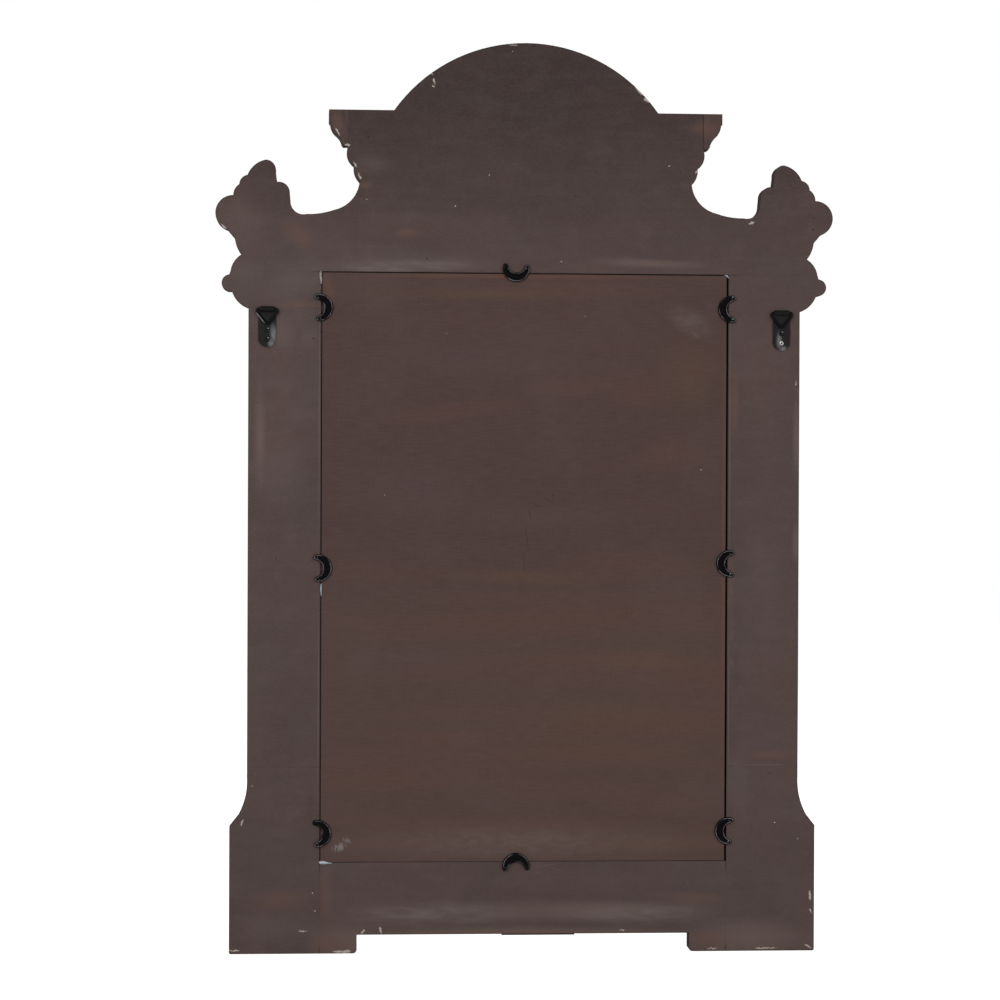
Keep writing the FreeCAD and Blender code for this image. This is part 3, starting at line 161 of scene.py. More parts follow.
# Flat brown paint on the back: brushed on thin over sanded boards, so it is matt and
# uneven, greyish where it is rubbed or dusty and reddish where the primer shows
backPaint = {
    "colour": "#4E403E",
    "deep": "#372C2B",
    "rosy": "#604A44",
    "grey": "#524B4A",
    "mauve": "#5A474B",
    "shade": "#3F3330",
    "haze": "#716562",
    "dusty": "#7B6862",
    "primer": "#624B43",
    "bare": "#B9AEA5",
    "paintedShade": "#14100F",
    "pit": "#2A1F1C",
    "ior": 1.5,
    "sheen": 0.1,
    "roughness": (0.6, 0.75),
    "sideRoughness": 0.95,
    "relief": {"strength": 0.2, "depth": 0.15},
    "strokeRelief": 0.3,  # how deep the brush strokes are beside the pores
    "deepFrom": 20.0,  # height in mm from which the crest grows darker
    "deepTo": 290.0,
    "brokenHaze": (0.22, 0.66),  # how much the haze covers where it is broken, and where full
    # openEdges sets the painted shade along the edges
    "openEdges": (0.92, 0.12),  # how dark an edge is drawn, and how dark where it is filled
    # The coats from first to last: broad uneven ones, then level brush strokes, and last what
    # time has left together with painted highlight lines and painted shade along the edges, each
    # with how much it covers and its colour
    "coats": [
        ("rosyClouds", 0.22, "rosy"), ("greyClouds", 0.3, "grey"),
        ("mauveClouds", 0.25, "mauve"), ("rosyMarks", 0.25, "rosy"),
        ("shadeStreaks", 0.12, "shade"), ("crestShade", 0.85, "deep"),
        ("smudgeMarks", 0.22, "deep"), ("faintHazeMarks", 0.18, "haze"),
        ("dustAndHighlightMarks", 0.36, "dusty"), ("strokes", 0.045, "haze"), ("fineDust", 0.07, "haze"),
        ("dustClouds", 0.07, "haze"), ("hazeMarks", "brokenHaze", "haze"),
        ("primerMarks", 0.55, "primer"), ("scuffs", "primerShow", "primer"),
        ("highlightLines", 0.35, "haze"), ("edges", "openEdges", "paintedShade"), ("chips", 0.85, "bare"),
        ("pits", 0.8, "pit"),
    ],
    # Patterns of noise, in the order that blotches takes: size in mm, low, high, stretch,
    # detail and warp
    "rosyClouds": (150.0, 0.4, 0.65, (0.7, 1, 1), 3.0, 0.5),
    "greyClouds": (110.0, 0.45, 0.7, (0.6, 1, 1), 3.0, 0.8),
    "mauveClouds": (55.0, 0.5, 0.7, (1, 1, 0.7), 3.0, 0.4),
    "shadeStreaks": (24.0, 0.45, 0.75, (0.3, 1, 1)),
    "fineDust": (2.6, 0.35, 0.7, (0.5, 1, 1), 3.0),
    "dustClouds": (20.0, 0.45, 0.75, (0.6, 1, 1), 5.0, 0.3),
    "breaks": (8.0, 0.35, 0.65, (0.22, 1, 1), 6.0, 0.4),
    "strokes": (9.0, 0.4, 0.75, (0.1, 1, 1)),
    "scuffs": (26.0, 0.35, 0.65, (1, 1, 1), 5.0, 1.2),
    "pores": (1.6, 0.3, 0.7, (0.35, 1, 1), 2.0),
    # How far each kind of mark fades in from its rim: 1 is to its middle
    "softness": {
        "rosyMarks": 0.95, "smudgeMarks": 0.98, "faintHazeMarks": 0.98, "dustAndHighlightMarks": 0.98,
        "hazeMarks": 0.95, "primerMarks": 0.9, "highlightLines": 0.8, "filledSeams": 0.3,
        "pits": 0.5,
    },
    "hazeMarks": [
        (150, 52, 130, 12, -2), (110, -729, 150, 20, 0), (-130, -730, 120, 18, 0),
    ],
    "faintHazeMarks": [
        (150, 58, 150, 18, -2), (292, -30, 32, 22, 90), (262, -34, 16, 20, 0),
        (188, 178, 32, 16, 5), (348, 108, 60, 40, 64), (338, 46, 30, 22, 0),
        (275, 36, 60, 34, -20), (258, 34, 30, 14, -54), (300, -745, 60, 24, 0),
        (300, -190, 60, 50, 90), (-262, -570, 60, 20, 90),
    ],
    # Pale dust, and the slim mark along the outer edge at x 320 is a painted highlight
    "dustAndHighlightMarks": [
        (-275, -760, 110, 32, 0), (218, -762, 60, 34, 0), (-150, 59, 100, 8, 2),
        (0, -753, 250, 11, 0), (-60, -726, 220, 18, 0), (320, -150, 80, 10, 90),
        (-331, -150, 70, 7, 90), (-331, -280, 34, 7, 90),
    ],
    "rosyMarks": [
        (290, -120, 150, 46, 90), (-290, -90, 120, 40, 90), (-290, -330, 150, 44, 90),
        (340, 120, 50, 40, 0), (-345, 130, 50, 46, 60), (120, 100, 130, 22, 2),
        (-80, 53, 80, 12, 0), (-100, -690, 150, 26, 0),
    ],
    "primerMarks": [
        (275, 90, 34, 18, 38), (145, 93, 24, 9, 0), (277, 6, 30, 9, 0),
        (239, -708, 56, 12, 90), (295, -712, 48, 20, 0), (-300, -538, 44, 9, 0),
        (-255, -110, 70, 8, 90), (227, 225, 20, 11, 70), (-207, -712, 60, 12, 2),
        (-251, -337, 60, 7, 90), (195, 150, 14, 7, 0), (-215, 223, 25, 14, 0),
        (-252, -391, 11, 5, 90), (-252, -426, 10, 4, 90),
        (235, -765, 36, 15, 0), (-222, -762, 42, 16, 0), (0, -752.5, 250, 4.5, 0),
    ],
    "smudgeMarks": [
        (-258, -418, 16, 7, 90), (-258, -446, 14, 7, 90), (-263, -570, 28, 11, 90),
        (258, -597, 26, 8, 90), (-20, 128, 160, 34, 0),
    ],
    "filledSeams": [
        (300, -551.3, 62, 3, 0), (-300, -551.3, 62, 3, 0), (300, 1.2, 62, 3, 0),
        (-300, 1.2, 62, 3, 0), (320, 45.7, 80, 3, 0), (-320, 45.7, 80, 3, 0),
        (0, -667, 246, 2, 0),
        (246.7, -722, 54, 3, 90), (-246.7, -722, 54, 3, 90), (216.5, 220, 26, 3, 90),
    ],
    # Painted highlights: thin pale lines along the edges of the panel's opening and a seam, in
    # the haze colour
    "highlightLines": [
        (249.0, -140, 200, 1.3, 90), (249.0, -480, 150, 1.1, 90),
        (-249.2, -170, 230, 1.4, 90), (-249.2, -480, 120, 1.1, 90),
        (-290, -550.0, 42, 1.0, 0), (-27, -671, 22, 0.6, -8), (-40, -676, 10, 0.6, 20),
    ],
    "chips": [
        (116, 286, 4.2, 1.0, 30), (112, 276, 4.8, 1.0, 76), (113, 270, 2.6, 0.8, 40),
        (-137, 268, 9, 2.4, 48), (-147, 257, 6, 3.0, 20), (17, 321, 6, 0.7, 0),
        (364, 98, 6, 1.2, 50), (354, 85, 8, 1.2, 48), (228, 214, 6, 1.1, 62),
        (216, 198, 4, 2.0, 0), (207, 175, 5, 1.0, 63), (201.5, 161, 5, 1.2, 62),
        (-275, 109, 5, 1.3, -20),
        (340, -618, 5, 1.4, -74), (194, -750, 4, 1.4, -45), (173, -748, 5, 1.5, 74),
        (267, -749, 6, 0.9, 0), (220, -774, 13, 1.3, 0), (214, -774, 6, 2.0, -8),
        (-350, -709, 7, 1.4, 84), (-351, -728, 4, 1.0, 70), (-281, 225, 7, 0.8, -79),
        (-266, 204, 6, 1.0, -64), (-256, 167, 7, 0.9, -79), (248, 38, 8, 0.7, 86),
        (-330, -85, 4, 0.7, 90), (349, -772, 8, 1.0, 0), (-120, -750, 4, 0.7, 0),
        (-233.5, 215, 4, 1.2, -62), (-227, 205, 5, 1.2, -55), (-207.5, 171, 4, 1.2, -50),
        (-230, -773, 7, 0.9, 0), (-296, -773, 16, 0.9, 0), (-348, -771, 6, 0.9, 30),
    ],
    "specks": [
        (193, 133), (255, -703), (252, -725), (325, -116), (45, 164), (-174, 177),
        (17, 313), (-43, 60), (86, 126), (-335, -640), (-318, -20), (-306, -620),
        (325, -560), (328, -574),
    ],
    "pits": [
        (256, -35, 2.2, 1.2, 30), (214, 217, 1.5, 1.2, 0), (-351, 116, 2.0, 0.9, 70),
        (-350, 102, 2.0, 1.1, 40), (-322, 155, 1.3, 1.0, 0), (191, 208, 2.2, 1.1, -50),
        (-188, 170, 1.3, 1.0, 0), (300, -300, 1.3, 1.0, 0), (-300, -560, 1.4, 1.0, 0),
        (120, 62, 1.6, 1.1, 20), (-60, 140, 1.3, 1.0, 0),
    ],
}
# The panel is the same paint on thin board: redder, in faint level bands that turn olive low
# on one side, rubbed near its lower corner and upper right, with one fine dark scratch
panelPaint = {
    "colour": "#493835",
    "red": "#583E37",
    "low": "#5A4842",
    "olive": "#5B4634",
    "mauve": "#55474A",
    "shade": "#43332F",
    "haze": "#6C605C",
    "smear": "#8F8886",
    "edge": "#66493B",
    "scratch": "#2C2220",
    "bare": "#B9AEA5",
    "paintedShade": "#14100F",
    "ior": 1.5,
    "sheen": 0.1,
    "roughness": (0.58, 0.72),
    "weaveRelief": 0.6,  # how deep the upright threads are beside the level ones
    "lowBandsFrom": -260.0,  # height in mm below which the level bands grow stronger
    "lowBandsTo": -420.0,
    "lowBands": (0.12, 0.4),  # how strong the bands are above, and how strong low down
    "scuffed": (0.2, 0.45),  # how much the haze covers where it is scuffed, and where full
    "brushed": 0.6,
    "coats": [
        ("lowBands", 0.9, "low"), ("bands", "lowBands", "red"), ("shadeStreaks", 0.1, "shade"),
        ("redMarks", 0.4, "red"), ("oliveMarks", 0.35, "olive"), ("mauveMarks", 0.2, "mauve"),
        ("clouds", 0.08, "haze"), ("threads", 0.07, "haze"), ("weave", 0.03, "haze"),
        ("hazeMarks", "scuffed", "haze"), ("smearMarks", "brushed", "smear"),
        ("edgeMarks", 0.4, "edge"), ("scratchMarks", 0.7, "scratch"),
        ("specks", 0.5, "bare"), ("edges", 0.45, "paintedShade"),
    ],
    "bands": (44.0, 0.42, 0.6, (0.05, 1, 1), 2.0, 0.3),
    "shadeStreaks": (36.0, 0.5, 0.75, (0.06, 1, 1), 1.0),
    "clouds": (110.0, 0.45, 0.8, (1, 1, 1), 3.0, 0.5),
    "threads": (2.2, 0.35, 0.65, (0.12, 1, 1)),
    "weave": (2.2, 0.35, 0.65, (1, 1, 0.12), 3.0),
    "scuffs": (14.0, 0.35, 0.65, (0.5, 1, 1), 5.0, 1.5),
    "bristles": (2.6, 0.35, 0.6, (1, 1, 0.3), 3.0, 1.0),
    "softness": {
        "redMarks": 0.98, "oliveMarks": 0.98, "mauveMarks": 0.98, "hazeMarks": 0.95,
        "smearMarks": 0.8, "edgeMarks": 0.7, "scratchMarks": 0.8,
    },
    "hazeMarks": [
        (-206, -26, 14, 5, 40), (-200, -12, 40, 22, 30), (10, -642, 290, 32, 0),
    ],
    "smearMarks": [(223, -648, 13, 7, -20), (214, -640, 8, 4, 30)],
    "redMarks": [
        (90, -122, 130, 16, -7), (-60, -92, 90, 16, -4), (-137, -96, 60, 34, 0),
        (-176, -170, 60, 30, -10),
        (-60, 26, 160, 16, 0), (-130, -308, 130, 30, 0), (-20, -370, 200, 15, -2),
        (-60, -422, 180, 12, 0), (-60, -580, 180, 20, 0), (-160, -596, 110, 24, 0),
        (0, -632, 260, 40, 0), (100, -520, 110, 14, 0),
    ],
    "oliveMarks": [
        (-153, -420, 120, 20, 2), (-120, -492, 150, 30, 2), (-110, -532, 170, 22, 2),
        (-160, -646, 110, 16, 0), (0, -322, 120, 14, 2),
        (60, 20, 150, 10, 0), (-200, -80, 50, 60, 0),
    ],
    "mauveMarks": [
        (130, -220, 120, 60, 0), (60, -60, 170, 24, 3), (150, -420, 80, 18, 0),
        (-20, -250, 160, 26, 0),
    ],
    "edgeMarks": [(-243, -313, 334, 4.5, 90), (238, 20, 30, 7, 80), (0, 42, 230, 4, 0)],
    "scratchMarks": [
        (-34, -222, 4, 0.7, 66), (-28, -229, 7, 0.7, 24), (-15, -235, 8, 0.7, 22),
        (-6, -246, 10, 0.7, 76), (-2, -272, 20, 0.6, 82), (1, -305, 16, 0.5, 88),
    ],
    "specks": [(153, -675), (170, -223), (-214, -191), (-72, -6), (96, -28)],
}
# Walnut stain on the front: darker in the hollows, rubbed warm and pale along the edges
frontStain = {
    "colour": "#3B261A",
    "light": "#55382A",
    "dark": "#24160F",
    "rubbed": "#8A6444",
    # side is painted shade on the faces that turn sideways: near-black, with some grain on the
    # boards
    "side": "#1A1210",
    "ior": 1.5,
    "sheen": 0.3,
    "roughness": (0.32, 0.5),
    "grainWidth": 3.2,
    "grainLength": 40.0,
    "grainRange": (0.35, 0.68),  # noise values where the pale grain starts and is full
    "grainDetail": 5.0,
    "grainWarp": 0.6,
    "clouds": (70.0, 0.45, 0.75, (1, 1, 1), 2.0),
    "cloudCover": 0.7,
    "sideGrain": 0.45,
    "sideCover": 0.5,
    "rubbedOnBoards": 0.55,
    "rubbedOnCarving": 0.75,
    "rubbedPatches": (30.0, 0.3, 0.65),
}
# Edges rubbed pale on the stain, and painted shade along the edges of the back paint and the
# panel: their reach in mm on the boards and on the carving, rays each, and how far a normal leans
# where they start and are full
edgeWearAndShade = {"radius": 1.8, "carvedRadius": 2.7, "samples": 4, "least": 0.995, "most": 0.9}
# How far a face looks to the wall, from 1 there to -1 at the front: where each starts and is full
faces = {"wall": (0.8, 0.95), "front": (-0.5, -0.8), "side": (-0.5, 0.3)}
# Chips and specks: their places are shaken to give them ragged rims, and all sizes are in mm
rags = {"size": 2.2, "detail": 4.0, "shake": 4.5, "softness": 0.4}
speckShape = {"reach": 0.7, "step": 0.3, "sizes": 3, "slimness": 0.7, "turn": 35}


def edgeMask(tree, radius, least=edgeWearAndShade["least"], most=edgeWearAndShade["most"]):
    # 1 along outside and inside edges, from how far a rounded normal leans from the true one
    rounded = addNode(
        tree, "ShaderNodeBevel", {"Radius": radius * mm}, samples=edgeWearAndShade["samples"])
    true = addNode(tree, "ShaderNodeNewGeometry", output="Normal")
    lean = addNode(
        tree, "ShaderNodeVectorMath", {0: rounded, 1: true}, "Value", operation="DOT_PRODUCT")
    return addNode(
        tree, "ShaderNodeMapRange", {"Value": lean, "From Min": least, "From Max": most},
        "Result", interpolation_type="SMOOTHSTEP")


def facing(tree, low, high):
    # How far a face looks to the wall: 1 at the wall, 0 at the sides and -1 at the front
    normal = addNode(tree, "ShaderNodeTexCoord", output="Normal")
    toWall = addNode(tree, "ShaderNodeSeparateXYZ", {0: normal}, "Y")
    return addNode(
        tree, "ShaderNodeMapRange", {"Value": toWall, "From Min": low, "From Max": high},
        "Result", interpolation_type="SMOOTHSTEP")


def stainColour(tree, place, upright):
    # Grain runs along the piece: up the uprights, and across the rails
    width = frontStain["grainWidth"]
    along = width / frontStain["grainLength"]
    stretch = (1, 1, along) if upright else (along, 1, 1)
    grain = blotches(
        tree, place, width, *frontStain["grainRange"], stretch, frontStain["grainDetail"],
        frontStain["grainWarp"])
    clouds = blotches(tree, place, *frontStain["clouds"])
    stain = layOver(tree, sRgb(frontStain["dark"]), [
        (grain, 1.0, sRgb(frontStain["colour"])),
        (clouds, frontStain["cloudCover"], sRgb(frontStain["light"]))])
    return stain, grain


def chipMask(tree, place, chips, specks):
    # Specks are small chips in three sizes, each turned on from the last
    shake = addNode(
        tree, "ShaderNodeTexNoise",
        {"Vector": place, "Scale": 1 / (rags["size"] * mm), "Detail": rags["detail"]}, "Color")
    centred = addNode(
        tree, "ShaderNodeVectorMath", {0: shake, 1: (0.5, 0.5, 0.5)}, operation="SUBTRACT")
    scaled = addNode(
        tree, "ShaderNodeVectorMath", {0: centred, "Scale": rags["shake"] * mm},
        operation="SCALE")
    shaken = addNode(tree, "ShaderNodeVectorMath", {0: place, 1: scaled}, operation="ADD")
    ellipses = list(chips)
    for number, (x, z) in enumerate(specks):
        reach = speckShape["reach"] + speckShape["step"] * (number % speckShape["sizes"])
        ellipses.append((
            x, z, reach, reach * speckShape["slimness"], speckShape["turn"] * number))
    return markMask(tree, shaken, ellipses, rags["softness"])


def makeBoardMaterial(name, upright, primerShow=0.0):
    # Brushed flat paint to the wall, stain to the front, and painted shade on the sides
    material, tree, place = newMaterial(name)
    height = addNode(tree, "ShaderNodeSeparateXYZ", {0: place}, "Z")
    crestShade = addNode(
        tree, "ShaderNodeMapRange",
        {"Value": height, "From Min": backPaint["deepFrom"] * mm,
         "From Max": backPaint["deepTo"] * mm}, "Result", interpolation_type="SMOOTHSTEP")
    scuffs = blotches(tree, place, *backPaint["scuffs"])
    strokes = blotches(tree, place, *backPaint["strokes"])
    breaks = blotches(tree, place, *backPaint["breaks"])
    broken = addNode(
        tree, "ShaderNodeMapRange",
        {"Value": breaks, "To Min": backPaint["brokenHaze"][0],
         "To Max": backPaint["brokenHaze"][1]}, "Result")
    # Near the edges the front's stain is rubbed pale, and the back paint takes painted shade,
    # less where a seam is filled
    nearEdges = edgeMask(tree, edgeWearAndShade["radius"])
    filled = markMask(
        tree, place, backPaint["filledSeams"], backPaint["softness"]["filledSeams"])
    openEdges = addNode(
        tree, "ShaderNodeMapRange",
        {"Value": filled, "To Min": backPaint["openEdges"][0],
         "To Max": backPaint["openEdges"][1]}, "Result")
    chips = chipMask(tree, place, backPaint["chips"], backPaint["specks"])
    paint = layOver(tree, sRgb(backPaint["colour"]), paintCoats(tree, place, backPaint, {
        "crestShade": crestShade, "strokes": strokes, "scuffs": scuffs, "edges": nearEdges,
        "chips": chips, "brokenHaze": broken, "openEdges": openEdges,
        "primerShow": primerShow}))
    stain, grain = stainColour(tree, place, upright)
    toWall = facing(tree, *faces["wall"])
    toFront = facing(tree, *faces["front"])
    stain = layOver(
        tree, stain, [(nearEdges, frontStain["rubbedOnBoards"], sRgb(frontStain["rubbed"]))])
    # Painted shade on the faces that turn sideways: near-black, with faint grain
    shadedSides = layOver(tree, sRgb(frontStain["side"]), [
        (grain, frontStain["sideGrain"], sRgb(frontStain["colour"]))])
    colour = layOver(tree, shadedSides, [(toFront, 1.0, stain), (toWall, 1.0, paint)])
    matt = addNode(
        tree, "ShaderNodeMapRange",
        {"Value": scuffs, "To Min": backPaint["roughness"][0],
         "To Max": backPaint["roughness"][1]}, "Result")
    glossy = addNode(
        tree, "ShaderNodeMapRange",
        {"Value": grain, "To Min": frontStain["roughness"][0],
         "To Max": frontStain["roughness"][1]}, "Result")
    unpainted = addNode(
        tree, "ShaderNodeMix", {0: toFront, 2: backPaint["sideRoughness"], 3: glossy},
        data_type="FLOAT")
    roughness = addNode(
        tree, "ShaderNodeMix", {0: toWall, 2: unpainted, 3: matt}, data_type="FLOAT")
    relief = addNode(
        tree, "ShaderNodeMath",
        {0: strokes, 1: backPaint["strokeRelief"],
         2: blotches(tree, place, *backPaint["pores"])}, operation="MULTIPLY_ADD")
    finishMaterial(
        tree, {"Base Color": colour, "Roughness": roughness, "IOR": backPaint["ior"],
               "Specular IOR Level": backPaint["sheen"]}, relief, **backPaint["relief"])
    return material


def makeCarvedMaterial(name, upright):
    # Stained and rubbed hardwood: the carving's edges catch the eye, and hollows stay dark
    material, tree, place = newMaterial(name)
    stain, grain = stainColour(tree, place, upright)
    nearEdges = edgeMask(tree, edgeWearAndShade["carvedRadius"])
    patches = blotches(tree, place, *frontStain["rubbedPatches"])
    worn = addNode(tree, "ShaderNodeMath", {0: nearEdges, 1: patches}, operation="MULTIPLY")
    colour = layOver(tree, stain, [
        (worn, frontStain["rubbedOnCarving"], sRgb(frontStain["rubbed"])),
        # Painted shade on the faces that turn sideways
        (facing(tree, *faces["side"]), frontStain["sideCover"], sRgb(frontStain["side"])),
        (facing(tree, *faces["wall"]), 1.0, sRgb(backPaint["colour"]))])
    roughness = addNode(
        tree, "ShaderNodeMapRange",
        {"Value": grain, "To Min": frontStain["roughness"][0],
         "To Max": frontStain["roughness"][1]}, "Result")
    finishMaterial(
        tree, {"Base Color": colour, "Roughness": roughness, "IOR": frontStain["ior"],
               "Specular IOR Level": frontStain["sheen"]}, grain)
    return material


def makePanelMaterial():
    # Flat paint on hardboard, with the board's level texture showing through
    material, tree, place = newMaterial("flatPaintOnHardboard")
    height = addNode(tree, "ShaderNodeSeparateXYZ", {0: place}, "Z")
    lowBands = addNode(
        tree, "ShaderNodeMapRange",
        {"Value": height, "From Min": panelPaint["lowBandsFrom"] * mm,
         "From Max": panelPaint["lowBandsTo"] * mm, "To Min": panelPaint["lowBands"][0],
         "To Max": panelPaint["lowBands"][1]}, "Result")
    threads = blotches(tree, place, *panelPaint["threads"])
    weave = blotches(tree, place, *panelPaint["weave"])
    scuffs = blotches(tree, place, *panelPaint["scuffs"])
    scuffed = addNode(
        tree, "ShaderNodeMapRange",
        {"Value": scuffs, "To Min": panelPaint["scuffed"][0],
         "To Max": panelPaint["scuffed"][1]}, "Result")
    bristles = blotches(tree, place, *panelPaint["bristles"])
    brushed = addNode(
        tree, "ShaderNodeMath", {0: bristles, 1: panelPaint["brushed"]}, operation="MULTIPLY")
    specks = chipMask(tree, place, [], panelPaint["specks"])
    # Painted shade along the panel's edges, in the gaps round it
    edges = edgeMask(tree, edgeWearAndShade["radius"])
    colour = layOver(tree, sRgb(panelPaint["colour"]), paintCoats(tree, place, panelPaint, {
        "lowBands": lowBands, "threads": threads, "weave": weave, "scuffed": scuffed,
        "brushed": brushed, "specks": specks, "edges": edges}))
    relief = addNode(
        tree, "ShaderNodeMath", {0: weave, 1: panelPaint["weaveRelief"], 2: threads},
        operation="MULTIPLY_ADD")
    roughness = addNode(
        tree, "ShaderNodeMapRange",
        {"Value": scuffs, "To Min": panelPaint["roughness"][0],
         "To Max": panelPaint["roughness"][1]}, "Result")
    finishMaterial(
        tree, {"Base Color": colour, "Roughness": roughness, "IOR": panelPaint["ior"],
               "Specular IOR Level": panelPaint["sheen"]}, relief)
    return material


# The mirror's sheet: its bright front, the faint smears on it, and its painted back
mirrorGlass = {
    "silver": "#E6ECEA", "smear": "#E2E8E6", "back": "#2B2422",
    "smears": (80.0, 0.4, 0.8, (1, 1, 1), 4.0, 1.0), "roughness": (0.015, 0.035),
}


def makeMirrorMaterial():
    # Silvered float glass: a clean cold reflection with the faintest smear, and its back and
    # edges painted
    material, tree, place = newMaterial("silveredGlass")
    smears = blotches(tree, place, *mirrorGlass["smears"])
    toFront = facing(tree, *faces["front"])
    silver = layOver(
        tree, sRgb(mirrorGlass["silver"]), [(smears, 1.0, sRgb(mirrorGlass["smear"]))])
    colour = layOver(tree, sRgb(mirrorGlass["back"]), [(toFront, 1.0, silver)])
    roughness = addNode(
        tree, "ShaderNodeMapRange",
        {"Value": smears, "To Min": mirrorGlass["roughness"][0],
         "To Max": mirrorGlass["roughness"][1]}, "Result")
    finishMaterial(tree, {"Base Color": colour, "Metallic": toFront, "Roughness": roughness})
    return material


# Black enamel on steel: it drinks the light but for painted highlights, pale lines on its rounded
# rims and small glints on one side, and painted sheen in grey patches broken by fine scratches;
# painted shade darkens the straps under their rings
enamel = {
    "ior": 1.5,
    "relief": {"strength": 0.15, "depth": 0.05},
    "peelDetail": 2.0,
    "dust": (5.0, 0.35, 0.65),
    "rimFaces": (0.93, 0.995),  # only the brink of the flat is lit: a dark edge stays outside
    "rimEdge": (1.6, 0.9985, 0.975),
    "rimBreaks": (0.36, 0.6, (1, 1, 1), 2.0),
    # Painted shade on the straps under their rings: how soft, how much it covers, and its colour
    "shadeSoftness": 0.4,
    "shadeCover": 0.8,
    "dark": "#080808",
    # Painted sheen: fine scratches break it up
    "scratches": (1.4, 0.25, 0.65, (1, 1, 0.2)),
    "scratchCover": (0.6, 0.95),
    "sheenSoftness": 0.95,
    "glintRange": (0.93, 0.98),
    "glintSoftness": 0.5,
}


def makeEnamelMaterial(name, look):
    material, tree, place = newMaterial(name)
    dust = blotches(tree, place, *enamel["dust"])
    coats = []
    # Painted highlight: broken pale lines on the brink of the flat, beside the rounded rims
    if "rim" in look:
        brink = addNode(
            tree, "ShaderNodeMath",
            {0: facing(tree, *enamel["rimFaces"]), 1: edgeMask(tree, *enamel["rimEdge"])},
            operation="MULTIPLY")
        broken = blotches(tree, place, look["rimLength"], *enamel["rimBreaks"])
        lit = addNode(tree, "ShaderNodeMath", {0: brink, 1: broken}, operation="MULTIPLY")
        coats.append((lit, look["rim"], sRgb(look["glintColour"])))
    # Painted shade on the straps under their rings
    if "paintedShadeMarks" in look:
        shaded = markMask(tree, place, look["paintedShadeMarks"], enamel["shadeSoftness"])
        coats.append((shaded, enamel["shadeCover"], sRgb(enamel["dark"])))
    # Painted sheen: grey patches on the straps, broken by fine scratches
    if "sheenMarks" in look:
        scratches = blotches(tree, place, *enamel["scratches"])
        greyed = addNode(
            tree, "ShaderNodeMapRange",
            {"Value": scratches, "To Min": enamel["scratchCover"][0],
             "To Max": enamel["scratchCover"][1]}, "Result")
        rubbed = markMask(tree, place, look["sheenMarks"], enamel["sheenSoftness"])
        coats.append((rubbed, greyed, sRgb(look["sheenColour"])))
    if "glint" in look:
        normal = addNode(tree, "ShaderNodeTexCoord", output="Normal")
        side = addNode(
            tree, "ShaderNodeVectorMath",
            {0: normal, 1: tuple(Vector(look["glint"]).normalized())}, "Value",
            operation="DOT_PRODUCT")
        spot = addNode(
            tree, "ShaderNodeMapRange",
            {"Value": side, "From Min": enamel["glintRange"][0],
             "From Max": enamel["glintRange"][1]}, "Result", interpolation_type="SMOOTHSTEP")
        where = 1.0
        if "glintMarks" in look:
            where = markMask(tree, place, look["glintMarks"], enamel["glintSoftness"])
        coats.append((spot, where, sRgb(look["glintColour"])))
    colour = layOver(tree, sRgb(look["colour"]), coats)
    roughness = addNode(
        tree, "ShaderNodeMapRange",
        {"Value": dust, "To Min": look["roughness"][0], "To Max": look["roughness"][1]},
        "Result")
    peel = blotches(tree, place, look["peel"], detail=enamel["peelDetail"])
    finishMaterial(
        tree, {"Base Color": colour, "Roughness": roughness, "IOR": enamel["ior"],
               "Specular IOR Level": look["sheen"]}, peel, **enamel["relief"])
    return material


# Small plain finishes: the colour that shows in spots over each, how big the spots are, and
# what sets it apart
plainLooks = {
    # Zinc plated steel: pale grey metal, stained dark where the plating has gone dull
    "zincScrew": {
        "colour": "#D0CCC6", "spot": "#5A5550", "spots": (1.5, 0.35, 0.7),
        "roughness": (0.25, 0.45), "settings": {"Metallic": 1.0},
    },
    # Dried white wood glue: bluish, waxy and half clear
    "driedWoodGlue": {
        "colour": "#B9C6D2", "spot": "#8A8682", "spots": (2.0, 0.4, 0.75),
        "roughness": (0.3, 0.5), "settings": {"IOR": 1.48, "Subsurface Weight": 0.2},
    },
    # Bare beech: pale and pinkish with short dark flecks
    "bareBeech": {
        "colour": "#C9A17A", "spot": "#9A6F4B", "spots": (1.2, 0.5, 0.75, (1, 1, 0.15), 3.0),
        "roughness": (0.55, 0.7), "settings": {},
    },
}


def makePlainMaterial(name):
    look = plainLooks[name]
    material, tree, place = newMaterial(name)
    spots = blotches(tree, place, *look["spots"])
    colour = layOver(tree, sRgb(look["colour"]), [(spots, 1.0, sRgb(look["spot"]))])
    roughness = addNode(
        tree, "ShaderNodeMapRange",
        {"Value": spots, "To Min": look["roughness"][0], "To Max": look["roughness"][1]},
        "Result")
    finishMaterial(tree, {"Base Color": colour, "Roughness": roughness, **look["settings"]})
    return material


